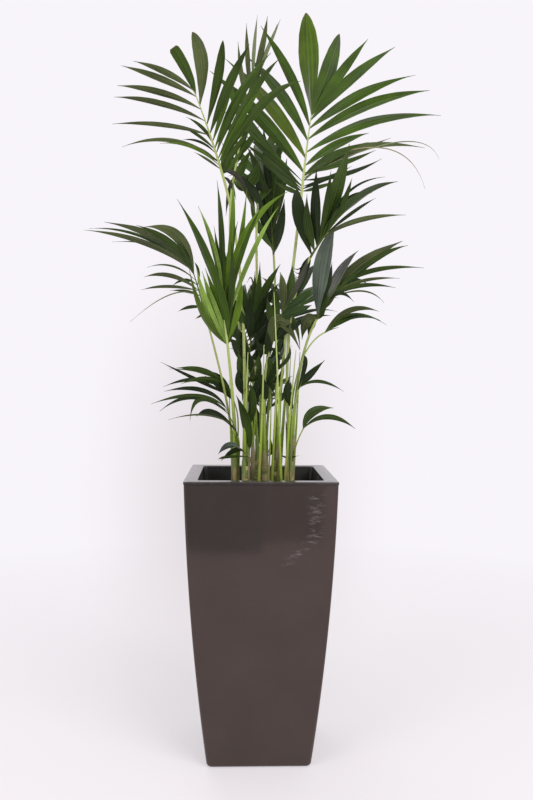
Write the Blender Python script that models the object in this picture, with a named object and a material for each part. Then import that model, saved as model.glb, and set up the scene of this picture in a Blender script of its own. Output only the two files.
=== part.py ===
"""A kentia palm in its tall, square, tapered planter.

Metres, +Z up. The origin is the middle of the planter's foot, the planter's front looks along -Y,
and the whole stands on z = 0. Plan angles run anticlockwise from +X, in degrees.
"""

import math
import random
from collections import namedtuple

import bmesh
import bpy
from mathutils import Vector
from mathutils.bvhtree import BVHTree

PLANT_NAME = "kentia_palm"
UP = Vector((0, 0, 1))
GAP = 0.0003  # between solids that touch

# Planter shell
FOOT_WIDTH = 0.278
TOP_WIDTH = 0.3975
SIDE_BULGE = 0.0098  # how far each side stands out of the straight line, halfway up
SHELL_WALL = 0.005
SHELL_FLOOR = 0.010
SHELL_STEPS = 7
FOOT_ROUNDING = 0.010
FOOT_CORNER = 0.013
TOP_CORNER = 0.005
CORNER_STEPS = 2

# Liner that hangs in the shell by its flat rim and holds the soil
RIM_HEIGHT = 0.770
RIM_THICKNESS = 0.0075
RIM_WIDTH = 0.400
RIM_BEVEL = 0.0012
MOUTH_WIDTH = 0.330
LINER_WALL = 0.003
LINER_DEPTH = 0.470
LINER_FOOT_WIDTH = 0.250
LINER_CORNER = 0.012

# Soil
SOIL_TOP = 0.712

# Stems
STEM_RADIUS = 0.0115
STEM_TAPER = 0.94  # radius at the top against the foot
STEM_RINGS = 3
RING_SWELL = 1.08
RING_REACH = 0.10  # of a ring's spacing, from its ridge to the plain stem on each side

# Stalks and ribs
STALK_FLARE = 1.25  # radius of a stalk's foot against its waist
STALK_SEAT = 0.0075  # from the stem's axis to the middle of each stalk's foot
STALK_STEPS = 6
SQUARE_END = 0.003  # straight length at each end, so that it ends square to what it meets
STALK_BEND = 0.9  # how stiffly a stalk keeps to its direction at each end
STALK_TOP_SHARE = 0.9  # radius of a stalk's top against its waist
RIB_STEPS = 4
RIB_ARCH = 0.07  # how high a rib rises over its chord, as a share of it
RIB_TIP_SHARE = 0.5  # radius of a rib's tip against its foot
TUBE_RESOLUTION = 1  # bevel resolution that gives six sides
CAP_WELD = 1e-5

# Leaflets
LEAF_RINGS = (  # place along the leaflet, share of its width, share of its thickness
    (0.00, 0.08, 1.00),
    (0.25, 0.68, 1.00),
    (0.50, 1.00, 0.95),
    (0.77, 0.70, 0.80),
)
LEAF_CURVE_STEPS = 20
FIRST_LEAF = 0.03  # where the first and the last leaflets leave the rib, as shares of it
LAST_LEAF = 0.98
RIGHT_STAGGER = 0.35  # how far the right hand's leaflets follow the left's, as a share of their spacing
ALONG_VARIATION = 0.012  # how far a leaflet's tip may lie off its frond's outline
FACE_VARIATION = 0.015
WIDTH_VARIATION = 0.1
LEAF_THICKNESS = 1 / 85  # of its length
LEAF_LEAST_THICKNESS = 0.0020
LEAF_TILT = 14  # degrees that each blade is turned about its own length
FOOT_LEAF = 0.7  # width of the leaflets at the rib's foot and at its tip, as shares of the frond's
TIP_LEAF = 1.4
LEAF_SWEEP = 0.10  # how far a leaflet leaves its rib along the rib before it turns out
LEAF_TURNS = (0, 6, -6, 12, -12)  # degrees that a leaflet may turn to keep clear
LEAF_CLEARANCE = 0.0008
JOIN_ATTEMPTS = 4  # rounds of fusing the leaflets with their rib, each with the leaflets a hair further in
HAIR = 0.0002
HAIR_STEPS = 3

Stem = namedtuple("Stem", "name x y top")
STEMS = (
    Stem("stem_left", -0.067, 0.000, 0.800),
    Stem("stem_left_inner", -0.036, -0.032, 0.792),
    Stem("stem_back", -0.012, 0.040, 0.798),
    Stem("stem_front", 0.015, -0.034, 0.790),
    Stem("stem_right_inner", 0.049, 0.024, 0.822),
    Stem("stem_right", 0.087, -0.012, 0.804),
    Stem("stem_far_back", 0.014, 0.082, 0.800),
)

# A frond's blade lies in the plane of its rib, from the end of the stalk to the rib's tip, and its
# side, a plan angle. The tips of its leaflets follow a curve on each hand through three points, given
# as how far along the rib and how far out from it. The cup lifts the tips out of the plane, as a
# share of how far out they are, and the arch is how high a leaflet rises over its chord.
Frond = namedtuple("Frond", "name stem top tip side cup arch count width radius right left")
WIDE_RIGHT = ((0.02, 0.10), (0.26, 0.15), (0.48, 0.04))
WIDE_LEFT = ((0.02, -0.10), (0.26, -0.15), (0.48, -0.04))
SLIM_RIGHT = ((0.02, 0.06), (0.20, 0.09), (0.38, 0.03))
SLIM_LEFT = ((0.02, -0.06), (0.20, -0.09), (0.38, -0.03))
FRONDS = (
    Frond("frond_top_right", 4, (0.110, -0.030, 1.550), (0.145, 0.090, 1.800), 0, -0.05, 0.12, 11,
          0.034, 0.0036,
          ((0.09, 0.22), (0.41, 0.37), (0.62, 0.06)), ((0.18, -0.20), (0.42, -0.31), (0.69, -0.05))),
    Frond("frond_top_left", 1, (-0.110, -0.050, 1.595), (-0.180, -0.130, 1.780), 5, -0.05, 0.13, 11,
          0.030, 0.0034,
          ((-0.16, 0.08), (0.14, 0.26), (0.34, 0.05)), ((0.11, -0.16), (0.26, -0.22), (0.33, -0.02))),
    Frond("frond_top_back", 2, (-0.080, 0.100, 1.610), (-0.025, 0.200, 1.920), 0, 0.10, 0.04, 8,
          0.026, 0.0032,
          ((0.08, 0.16), (0.48, 0.08), (0.58, 0.01)), ((0.12, -0.08), (0.40, -0.09), (0.58, -0.03))),
    Frond("frond_mid_right", 5, (0.130, -0.090, 1.360), (0.195, -0.150, 1.450), 10, 0, 0.10, 6,
          0.036, 0.0032,
          ((0.18, 0.16), (0.23, 0.17), (0.29, 0.08)), ((0.13, -0.13), (0.19, -0.11), (0.30, -0.09))),
    Frond("frond_mid_left", 0, (-0.155, 0.000, 1.215), (-0.200, 0.030, 1.360), -25, 0, 0.22, 6,
          0.026, 0.0026,
          ((0.18, -0.13), (0.37, -0.23), (0.32, -0.12)), ((0.01, -0.07), (0.16, -0.15), (0.38, -0.30))),
    Frond("frond_front_bright", 0, (-0.090, -0.090, 1.120), (-0.110, -0.160, 1.275), 0, 0.10, 0.06, 6,
          0.030, 0.0034,
          ((0.28, 0.12), (0.39, 0.20), (0.41, 0.10)), ((0.22, -0.07), (0.39, -0.06), (0.43, 0.03))),
    Frond("frond_right", 5, (0.155, -0.020, 1.200), (0.215, -0.060, 1.300), -15, 0, 0.14, 6,
          0.036, 0.0032,
          ((0.09, 0.08), (0.25, 0.19), (0.31, 0.10)), ((0.15, -0.08), (0.25, -0.09), (0.23, 0.01))),
    Frond("frond_right_low", 5, (0.180, 0.000, 1.165), (0.220, 0.010, 1.180), -20, 0, 0.20, 3,
          0.030, 0.0020,
          ((0.10, 0.10), (0.15, 0.09), (0.15, 0.08)), ((0.11, -0.03), (0.17, -0.01), (0.18, 0.03))),
    Frond("frond_centre_back", 4, (0.040, 0.130, 1.400), (0.030, 0.200, 1.560), 0, 0.10, 0.04, 5,
          0.036, 0.0030,
          ((0.11, 0.04), (0.19, 0.05), (0.34, 0.03)), ((0.09, -0.03), (0.23, -0.03), (0.44, 0.00))),
    Frond("frond_centre_dark", 1, (-0.035, 0.000, 1.060), (-0.020, -0.010, 1.205), 0, -0.10, 0.10, 6,
          0.034, 0.0030,
          ((0.08, 0.11), (0.23, 0.10), (0.30, 0.01)), ((0.13, -0.06), (0.23, -0.05), (0.28, -0.01))),
    Frond("frond_centre_front", 3, (0.025, -0.030, 1.110), (0.060, -0.080, 1.220), 0, -0.10, 0.08, 5,
          0.034, 0.0030,
          ((0.10, 0.09), (0.20, 0.07), (0.28, 0.01)), ((0.11, -0.06), (0.19, -0.05), (0.25, -0.02))),
    Frond("frond_low_left", 0, (-0.072, 0.022, 0.965), (-0.098, 0.005, 1.020), 20, 0, 0.14, 4,
          0.018, 0.0018,
          ((0.13, 0.00), (0.15, -0.04), (0.17, -0.12)), ((0.12, -0.11), (0.14, -0.16), (0.21, -0.14))),
    Frond("frond_low_left_front", 0, (-0.062, -0.025, 0.875), (-0.095, -0.055, 0.955), -20, 0, 0.24, 4,
          0.016, 0.0018,
          ((0.14, -0.09), (0.18, -0.15), (0.14, -0.22)), ((0.09, -0.09), (0.09, -0.18), (0.11, -0.21))),
    Frond("frond_low_small", 1, (-0.030, -0.050, 0.820), (-0.060, -0.070, 0.845), 0, 0, 0.25, 2,
          0.012, 0.0015,
          ((0.07, -0.02), (0.07, -0.06), (0.07, -0.06)), ((0.01, -0.05), (0.04, -0.07), (0.05, -0.06))),
    Frond("frond_low_right", 5, (0.105, -0.030, 1.005), (0.115, -0.040, 1.030), 0, 0, 0.18, 2,
          0.022, 0.0020,
          ((0.04, 0.12), (0.04, 0.12), (0.05, 0.09)), ((0.08, -0.01), (0.09, 0.00), (0.11, 0.04))),
    Frond("frond_sprig", 5, (0.120, -0.020, 0.895), (0.130, -0.020, 0.910), 0, 0, 0.16, 1,
          0.022, 0.0015,
          ((0.08, 0.12), (0.08, 0.12), (0.08, 0.12)), ((0.10, 0.04), (0.10, 0.04), (0.10, 0.04))),
    Frond("frond_back_high", 6, (-0.008, 0.130, 1.540), (0.010, 0.330, 1.690), 0, 0.10, 0.10, 8,
          0.032, 0.0032, WIDE_RIGHT, WIDE_LEFT),
    Frond("frond_back_right", 6, (0.060, 0.120, 1.170), (0.105, 0.300, 1.270), -15, 0.00, 0.12, 8,
          0.032, 0.0030, WIDE_RIGHT, WIDE_LEFT),
    Frond("frond_back_left", 2, (-0.030, 0.135, 1.110), (-0.050, 0.300, 1.200), 0, 0.00, 0.12, 8,
          0.032, 0.0030, WIDE_RIGHT, SLIM_LEFT),
    Frond("frond_back_low", 6, (0.018, 0.135, 0.960), (0.020, 0.290, 1.000), 0, 0.00, 0.15, 6,
          0.028, 0.0026, SLIM_RIGHT, SLIM_LEFT),
)
BRIGHT_FROND = "frond_front_bright"

# Colours, linear
MATERIALS = {
    "planter_gloss": ((0.050, 0.042, 0.038), 0.22),
    "liner_gloss": ((0.060, 0.052, 0.048), 0.30),
    "soil": ((0.035, 0.024, 0.016), 0.95),
    "stem_skin": ((0.200, 0.210, 0.060), 0.60),
    "stalk_green": ((0.180, 0.300, 0.045), 0.45),
    "leaf_green": ((0.060, 0.120, 0.025), 0.45),
    "leaf_bright": ((0.130, 0.260, 0.030), 0.45),
}


def blend(a, b, share):
    return a + (b - a) * share


def through(points, share):
    """The curve through three points at the foot, the middle and the tip, read at this share."""
    foot, middle, tip = points
    return (
        foot * ((1 - share) * (1 - 2 * share))
        + middle * (4 * share * (1 - share))
        + tip * (share * (2 * share - 1))
    )


def plan_direction(degrees):
    return Vector((math.cos(math.radians(degrees)), math.sin(math.radians(degrees)), 0))


def arc_over(start, end, crown, steps):
    """Points on the curve from start to end that is drawn towards the crown point."""
    points = []
    for step in range(steps + 1):
        share = step / steps
        points.append(blend(blend(start, crown, share), blend(crown, end, share), share))
    return points


def direction_at(points, step):
    return (points[min(step + 1, len(points) - 1)] - points[max(step - 1, 0)]).normalized()


def point_along(points, share):
    """The point at this share of a line of evenly spaced points."""
    place = min(max(share, 0), 1) * (len(points) - 1)
    step = min(int(place), len(points) - 2)
    return blend(points[step], points[step + 1], place - step)


Blade = namedtuple("Blade", "along across face")


def blade_of(frond):
    """The directions of a frond's blade: along its rib, out to its right hand, and off its face."""
    along = (Vector(frond.tip) - Vector(frond.top)).normalized()
    side = plan_direction(frond.side)
    across = (side - along * side.dot(along)).normalized()
    return Blade(along, across, across.cross(along))


def rib_line(frond):
    top, tip = Vector(frond.top), Vector(frond.tip)
    crown = blend(top, tip, 0.5) + UP * ((tip - top).length * RIB_ARCH)
    return arc_over(top, tip, crown, RIB_STEPS)


Leaflet = namedtuple("Leaflet", "foot tip crown face width")


def leaflets_of(frond):
    """Every leaflet of the frond, alternating along the rib, with the last two at its tip."""
    chance = random.Random(frond.name)
    blade = blade_of(frond)
    rib = rib_line(frond)
    leaflets = []
    for number in range(frond.count):
        for hand, outline in ((1, frond.right), (-1, frond.left)):
            stagger = RIGHT_STAGGER if hand > 0 and number < frond.count - 1 else 0
            share = (number + stagger) / (frond.count - 1) if frond.count > 1 else 1
            foot = point_along(rib, blend(FIRST_LEAF, LAST_LEAF, share))
            along, across = through([Vector(point) for point in outline], share)
            along += chance.uniform(-ALONG_VARIATION, ALONG_VARIATION)
            tip = Vector(frond.top) + blade.along * along + blade.across * across
            lift = chance.uniform(-FACE_VARIATION, FACE_VARIATION)
            tip += blade.face * (frond.cup * abs(across) + lift)
            length = (tip - foot).length
            crown = blend(foot, tip, 0.5) + UP * (length * frond.arch)
            crown += blade.along * (length * LEAF_SWEEP)
            face = blade.face + blade.across * (hand * math.tan(math.radians(LEAF_TILT)))
            width = frond.width * chance.uniform(1 - WIDTH_VARIATION, 1 + WIDTH_VARIATION)
            width *= blend(FOOT_LEAF, TIP_LEAF, share**1.5)
            leaflets.append(Leaflet(foot, tip, crown, face, width))
    return leaflets


def turned(leaflet, degrees):
    """The leaflet, swung about its foot within its own face."""
    chord = leaflet.tip - leaflet.foot
    side = chord.cross(leaflet.face).normalized() * chord.length
    angle = math.radians(degrees)
    tip = leaflet.foot + chord * math.cos(angle) + side * math.sin(angle)
    return leaflet._replace(tip=tip, crown=leaflet.crown + (tip - leaflet.tip) * 0.5)


def leaflet_rings(leaflet, swell=0.0):
    """Three-sided sections along a leaflet, flat above with a keel below, and its tip."""
    line = arc_over(leaflet.foot, leaflet.tip, leaflet.crown, LEAF_CURVE_STEPS)
    length = sum((b - a).length for a, b in zip(line, line[1:]))
    thickness = max(LEAF_LEAST_THICKNESS, length * LEAF_THICKNESS)
    rings = []
    for place, width_share, thickness_share in LEAF_RINGS:
        step = round(place * LEAF_CURVE_STEPS)
        ahead = direction_at(line, step)
        side = ahead.cross(leaflet.face).normalized()
        above = side.cross(ahead)
        out = side * (leaflet.width / 2 * width_share + swell)
        keel = above * (thickness * thickness_share + swell)
        middle = line[step] + above * swell
        rings.append([middle - out, middle + out, middle - keel])
    rings.append([line[-1]])
    return rings


def loft_faces(sizes):
    """Faces through rings of these sizes, capped at both ends. A ring of one point is a tip."""
    faces = [tuple(range(sizes[0]))]
    start = 0
    for near, far in zip(sizes, sizes[1:]):
        after = start + near
        for corner in range(near):
            following = (corner + 1) % near
            if far == 1:
                faces.append((start + following, start + corner, after))
            else:
                faces.append(
                    (start + following, start + corner, after + corner, after + following)
                )
        start = after
    if sizes[-1] > 1:
        faces.append(tuple(range(start + sizes[-1] - 1, start - 1, -1)))
    return faces


def loft_mesh(name, rings):
    points = [point for ring in rings for point in ring]
    mesh = bpy.data.meshes.new(name)
    mesh.from_pydata(points, [], loft_faces([len(ring) for ring in rings]))
    shape = bmesh.new()
    shape.from_mesh(mesh)
    bmesh.ops.recalc_face_normals(shape, faces=shape.faces)
    shape.to_mesh(mesh)
    shape.free()
    return mesh


def add_object(name, data, collection, material):
    item = bpy.data.objects.new(name, data)
    collection.objects.link(item)
    data.materials.append(material)
    return item


def tube(name, points, radii, collection, material):
    """A tapering tube: a curve through the points with a radius at each."""
    curve = bpy.data.curves.new(name, "CURVE")
    curve.dimensions = "3D"
    curve.bevel_depth = 1
    curve.bevel_resolution = TUBE_RESOLUTION
    curve.use_fill_caps = True
    spline = curve.splines.new("POLY")
    spline.points.add(len(points) - 1)
    for spot, point, radius in zip(spline.points, points, radii):
        spot.co = (*point, 1)
        spot.radius = radius
    return add_object(name, curve, collection, material)


def as_mesh(item, collection):
    """The tube made a mesh with its caps welded, in place of the curve."""
    bpy.context.view_layer.update()
    graph = bpy.context.evaluated_depsgraph_get()
    mesh = bpy.data.meshes.new_from_object(item.evaluated_get(graph))
    shape = bmesh.new()
    shape.from_mesh(mesh)
    bmesh.ops.remove_doubles(shape, verts=shape.verts, dist=CAP_WELD)
    bmesh.ops.recalc_face_normals(shape, faces=shape.faces)
    shape.to_mesh(mesh)
    shape.free()
    name, place = item.name, item.matrix_world.copy()
    bpy.data.objects.remove(item)
    solid = bpy.data.objects.new(name, mesh)
    solid.matrix_world = place
    collection.objects.link(solid)
    return solid


def square_ring(width, corner, height):
    """A square with rounded corners, as points in plan at this height."""
    points = []
    reach = width / 2 - corner
    for quarter in range(4):
        centre_angle = math.radians(45 + 90 * quarter)
        centre = Vector((math.cos(centre_angle), math.sin(centre_angle), 0)) * (reach * math.sqrt(2))
        for step in range(CORNER_STEPS + 1):
            angle = 90 * quarter + 90 * step / CORNER_STEPS
            points.append(centre + plan_direction(angle) * corner + UP * height)
    return points


def shell_width(height):
    """Width of the planter's outside at this height: a taper with a slight outward curve."""
    share = height / (RIM_HEIGHT - RIM_THICKNESS)
    return blend(FOOT_WIDTH, TOP_WIDTH, share) + 2 * SIDE_BULGE * 4 * share * (1 - share)


def shell_corner(height):
    return blend(FOOT_CORNER, TOP_CORNER, height / RIM_HEIGHT)


def make_shell(collection, material):
    top = RIM_HEIGHT - RIM_THICKNESS - GAP
    rings = []
    for angle in (0, 30, 60):
        inset = FOOT_ROUNDING * (1 - math.sin(math.radians(angle)))
        height = FOOT_ROUNDING * (1 - math.cos(math.radians(angle)))
        rings.append(square_ring(shell_width(height) - 2 * inset, FOOT_CORNER - inset / 2, height))
    for step in range(SHELL_STEPS + 1):
        height = blend(FOOT_ROUNDING, top, step / SHELL_STEPS)
        rings.append(square_ring(shell_width(height), shell_corner(height), height))
    for step in range(SHELL_STEPS, -1, -1):
        height = blend(SHELL_FLOOR, top, step / SHELL_STEPS)
        corner = shell_corner(height) - SHELL_WALL / 2
        rings.append(square_ring(shell_width(height) - 2 * SHELL_WALL, corner, height))
    return add_object("planter", loft_mesh("planter", rings), collection, material)


def liner_width(height):
    """Width of the liner's inside at this height."""
    return blend(MOUTH_WIDTH, LINER_FOOT_WIDTH, (RIM_HEIGHT - height) / LINER_DEPTH)


def make_liner(collection, material):
    under_rim = RIM_HEIGHT - RIM_THICKNESS
    foot = RIM_HEIGHT - LINER_DEPTH
    outer_foot = LINER_FOOT_WIDTH + 2 * LINER_WALL
    rings = [
        square_ring(outer_foot, LINER_CORNER, foot - LINER_WALL),
        square_ring(liner_width(under_rim) + 2 * LINER_WALL, LINER_CORNER, under_rim),
        square_ring(RIM_WIDTH, TOP_CORNER, under_rim),
        square_ring(RIM_WIDTH, TOP_CORNER, RIM_HEIGHT - RIM_BEVEL),
        square_ring(RIM_WIDTH - 2 * RIM_BEVEL, TOP_CORNER, RIM_HEIGHT),
        square_ring(MOUTH_WIDTH + 2 * RIM_BEVEL, LINER_CORNER, RIM_HEIGHT),
        square_ring(MOUTH_WIDTH, LINER_CORNER, RIM_HEIGHT - RIM_BEVEL),
        square_ring(LINER_FOOT_WIDTH, LINER_CORNER, foot),
    ]
    return add_object("liner", loft_mesh("liner", rings), collection, material)


def make_soil(collection, material):
    foot = RIM_HEIGHT - LINER_DEPTH + GAP
    rings = [
        square_ring(liner_width(height) - 2 * GAP, LINER_CORNER, height)
        for height in (foot, SOIL_TOP)
    ]
    return add_object("soil", loft_mesh("soil", rings), collection, material)


def make_stem(stem, collection, material):
    """A short ringed stem from its flat cut on the soil to the crown that the stalks leave."""
    foot = Vector((stem.x, stem.y, SOIL_TOP + GAP))
    top = Vector((stem.x, stem.y, stem.top))
    points, radii = [foot], [STEM_RADIUS]
    for ring in range(STEM_RINGS):
        for offset, swell in ((-RING_REACH, 1), (0, RING_SWELL), (RING_REACH, 1)):
            share = (ring + 0.5 + offset) / STEM_RINGS
            points.append(blend(foot, top, share))
            radii.append(STEM_RADIUS * blend(1, STEM_TAPER, share) * swell)
    points.append(top)
    radii.append(STEM_RADIUS * STEM_TAPER)
    return tube(stem.name, points, radii, collection, material)


def seats():
    """Where each stalk stands on its stem: spread evenly round the top, in the order they lean."""
    places = {}
    for number, stem in enumerate(STEMS):
        carried = [frond for frond in FRONDS if frond.stem == number]
        leans = {
            frond.name: math.degrees(math.atan2(frond.top[1] - stem.y, frond.top[0] - stem.x))
            for frond in carried
        }
        carried.sort(key=lambda frond: leans[frond.name])
        if not carried:
            continue
        spacing = 360 / len(carried)
        start = sum(leans[f.name] - spacing * k for k, f in enumerate(carried)) / len(carried)
        centre = Vector((stem.x, stem.y, stem.top + GAP))
        for order, frond in enumerate(carried):
            offset = plan_direction(start + spacing * order) * STALK_SEAT
            places[frond.name] = centre + (offset if len(carried) > 1 else Vector())
    return places


def stalk_line(frond, seat):
    """A stalk leaves its stem upright and ends in line with its rib."""
    end = Vector(frond.top)
    rib = rib_line(frond)
    ahead = (rib[1] - rib[0]).normalized()
    pull = (end - seat).length * STALK_BEND
    points = []
    for step in range(STALK_STEPS + 1):
        t = step / STALK_STEPS
        points.append(
            seat * (2 * t**3 - 3 * t**2 + 1)
            + UP * (pull * (t**3 - 2 * t**2 + t))
            + end * (3 * t**2 - 2 * t**3)
            + ahead * (pull * (t**3 - t**2))
        )
    points.insert(1, seat + UP * SQUARE_END)
    points.insert(-1, end - ahead * SQUARE_END)
    return points


def stalk_radii(frond, line):
    length = sum((b - a).length for a, b in zip(line, line[1:]))
    radii, reached = [], 0
    for before, point in zip([line[0], *line], line):
        reached += (point - before).length
        share = reached / length
        flare = blend(STALK_FLARE, 1, min(1, share * 3))
        radii.append(frond.radius * flare * blend(1, STALK_TOP_SHARE, share))
    return radii


def make_stalks(collection, material):
    stalks = []
    for name, seat in seats().items():
        frond = next(frond for frond in FRONDS if frond.name == name)
        line = stalk_line(frond, seat)
        stalk_name = frond.name.replace("frond", "stalk")
        stalks.append(tube(stalk_name, line, stalk_radii(frond, line), collection, material))
    return stalks


def make_rib(frond, collection, material):
    line = rib_line(frond)
    line[0] = line[0] + (line[1] - line[0]).normalized() * GAP
    radii = [
        frond.radius * STALK_TOP_SHARE * blend(1, RIB_TIP_SHARE, step / RIB_STEPS)
        for step in range(RIB_STEPS + 1)
    ]
    return as_mesh(tube(frond.name, line, radii, collection, material), collection)


def tree_of(item):
    """The evaluated surface of an object, for overlap tests."""
    graph = bpy.context.evaluated_depsgraph_get()
    evaluated = item.evaluated_get(graph)
    mesh = evaluated.to_mesh()
    mesh.transform(item.matrix_world)
    tree = BVHTree.FromPolygons(
        [vertex.co.copy() for vertex in mesh.vertices], [tuple(face.vertices) for face in mesh.polygons]
    )
    evaluated.to_mesh_clear()
    return tree


def leaflet_tree(leaflet, swell=0.0):
    rings = leaflet_rings(leaflet, swell)
    points = [point for ring in rings for point in ring]
    return BVHTree.FromPolygons(points, loft_faces([len(ring) for ring in rings]))


def clear_leaflet(leaflet, obstacles):
    """The leaflet, swung as little as keeps it clear of the obstacles, or None."""
    for degrees in LEAF_TURNS:
        trial = turned(leaflet, degrees)
        tree = leaflet_tree(trial, LEAF_CLEARANCE)
        if not any(tree.overlap(obstacle) for obstacle in obstacles):
            return trial
    return None


def shells_of(shape):
    """The vertices of each separate shell, the fewest first."""
    waiting = set(shape.verts)
    shells = []
    while waiting:
        shell = [waiting.pop()]
        for vertex in shell:
            for edge in vertex.link_edges:
                neighbour = edge.other_vert(vertex)
                if neighbour in waiting:
                    waiting.remove(neighbour)
                    shell.append(neighbour)
        shells.append(shell)
    return sorted(shells, key=len)


def tidied(mesh):
    """Drops the small shells that crossing leaflets close off, and says if the mesh is sound."""
    shape = bmesh.new()
    shape.from_mesh(mesh)
    small = [vertex for shell in shells_of(shape)[:-1] for vertex in shell]
    bmesh.ops.delete(shape, geom=small)
    sound = all(edge.is_manifold for edge in shape.edges)
    shape.to_mesh(mesh)
    shape.free()
    return sound


def union_of(rib, blades, solver):
    """The rib and its blades as one mesh."""
    union = rib.modifiers.new("leaflets", "BOOLEAN")
    union.operation = "UNION"
    union.operand_type = "COLLECTION"
    union.collection = blades
    union.solver = solver
    bpy.context.view_layer.update()
    graph = bpy.context.evaluated_depsgraph_get()
    joined = bpy.data.meshes.new_from_object(rib.evaluated_get(graph))
    rib.modifiers.clear()
    return joined


def join_leaflets(rib, leaflets, collection, material):
    """One union fuses the leaflets on the rib. Where it isn't sound, the leaflets shift by a hair."""
    for attempt, solver in enumerate(("EXACT", "MANIFOLD") * JOIN_ATTEMPTS):
        blades = bpy.data.collections.new(rib.name + "_leaflets")
        bpy.context.scene.collection.children.link(blades)
        for number, leaflet in enumerate(leaflets):
            hairs = (attempt // 2) * (number % HAIR_STEPS)
            shift = (leaflet.tip - leaflet.foot).normalized() * (HAIR * hairs)
            placed = leaflet._replace(foot=leaflet.foot - shift)
            name = f"{rib.name}_leaflet_{number}"
            add_object(name, loft_mesh(name, leaflet_rings(placed)), blades, material)
        joined = union_of(rib, blades, solver)
        sound = tidied(joined)
        for item in list(blades.objects):
            bpy.data.objects.remove(item)
        bpy.data.collections.remove(blades)
        if sound:
            break
    rib.data = joined
    joined.materials.clear()
    joined.materials.append(material)


def make_material(name):
    colour, roughness = MATERIALS[name]
    material = bpy.data.materials.new(name)
    material.use_nodes = True
    shader = material.node_tree.nodes["Principled BSDF"]
    shader.inputs["Base Color"].default_value = (*colour, 1)
    shader.inputs["Roughness"].default_value = roughness
    return material


def main():
    for item in list(bpy.data.objects):
        bpy.data.objects.remove(item)
    collection = bpy.data.collections.new(PLANT_NAME)
    bpy.context.scene.collection.children.link(collection)
    materials = {name: make_material(name) for name in MATERIALS}

    make_shell(collection, materials["planter_gloss"])
    liner = make_liner(collection, materials["liner_gloss"])
    make_soil(collection, materials["soil"])
    stems = [make_stem(stem, collection, materials["stem_skin"]) for stem in STEMS]
    stalks = make_stalks(collection, materials["stalk_green"])
    ribs = {
        frond.name: make_rib(frond, collection, materials["leaf_green"]) for frond in FRONDS
    }
    bpy.context.view_layer.update()

    limbs = [tree_of(item) for item in [liner, *stems, *stalks]]
    rib_trees = {name: tree_of(rib) for name, rib in ribs.items()}
    placed = []
    for frond in FRONDS:
        obstacles = limbs + placed
        obstacles += [tree for name, tree in rib_trees.items() if name != frond.name]
        kept = [clear_leaflet(leaflet, obstacles) for leaflet in leaflets_of(frond)]
        kept = [leaflet for leaflet in kept if leaflet]
        placed.extend(leaflet_tree(leaflet) for leaflet in kept)
        shade = "leaf_bright" if frond.name == BRIGHT_FROND else "leaf_green"
        join_leaflets(ribs[frond.name], kept, collection, materials[shade])


if __name__ == "__main__":
    main()
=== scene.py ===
"""The looks of a kentia palm in its tall, square, tapered planter.

Metres, +Z up, the planter's front towards -Y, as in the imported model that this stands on. Plan angles
run anticlockwise from +X, in degrees. Colours are linear.
"""

import math
import random
from collections import namedtuple

import bmesh
import bpy
import numpy as np
from mathutils import Matrix, Vector


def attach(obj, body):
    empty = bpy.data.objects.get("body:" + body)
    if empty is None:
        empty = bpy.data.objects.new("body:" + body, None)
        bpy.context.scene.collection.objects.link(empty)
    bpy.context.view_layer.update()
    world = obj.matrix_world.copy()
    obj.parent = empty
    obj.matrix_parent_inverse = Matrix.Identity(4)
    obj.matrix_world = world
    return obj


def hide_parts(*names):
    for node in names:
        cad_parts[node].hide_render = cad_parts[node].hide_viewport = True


UP = Vector((0, 0, 1))

# Camera of the photograph, fitted to the planter's edges
CAMERA_PLACE = (-0.051, -2.178, 1.035)
CAMERA_YAW = 1.81  # degrees to the right of +Y
CAMERA_PITCH = 1.59  # degrees below level
CAMERA_ROLL = 0.40  # degrees, right side down
CAMERA_LENS = 35.0  # mm
CAMERA_SENSOR = 36.0  # mm along the frame's long side

PICTURE_WIDTH = 533
PICTURE_HEIGHT = 800
FOCAL_PIXELS = PICTURE_HEIGHT * CAMERA_LENS / CAMERA_SENSOR

# Stage
FLOOR_REACH = 9.0
FLOOR_NEAR = 0.42  # the floor keeps its own shade up to here from the middle
FLOOR_FAR = 2.80  # and has faded into the backdrop here
CARDS = (  # left, right, place towards the front, glow
    (-0.70, 0.06, -1.90, (0.010, 0.022, 0.040)),
    (0.06, 0.56, -2.12, (0.180, 0.100, 0.085)),
)
CARD_TOP = 2.4
FLOOR_GLOW = 0.45  # share of the backdrop's own light in the floor by the planter
FLOOR_DROP = 0.0002  # how far the floor lies below the foot
BACKDROP = (0.940, 0.908, 0.955)
BACKDROP_BEYOND = 3.0  # how far the backdrop stands outside the floor's edge
FLOOR_WHITE = (0.93, 0.885, 0.91)
SHADE_PLACE = (235, 500)  # middle of the soft shade behind the planter, in the picture's pixels
SHADE_REACH = (170, 330)  # pixels, across and up
SHADE_COLOUR = (0.705, 0.650, 0.672)
SHADE_STRENGTH = 0.85
SHADE_BEHIND = (-1.0, -0.6)  # it comes in between these places towards the back
LIGHTS = (  # name, place, height of its aim, size, power, colour
    ("softbox_key", (1.9, -2.8, 2.9), 0.9, (2.2, 2.2), 84, (1.0, 0.98, 0.95)),
    ("softbox_fill", (-2.4, -2.6, 2.4), 0.9, (1.8, 2.2), 44, (1, 1, 1)),
    ("softbox_behind", (-0.8, 2.6, 3.2), 1.3, (2.0, 1.4), 20, (1, 1, 1)),
)
WORLD_COLOUR = (1.0, 0.985, 0.99)
WORLD_STRENGTH = 0.50

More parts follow.
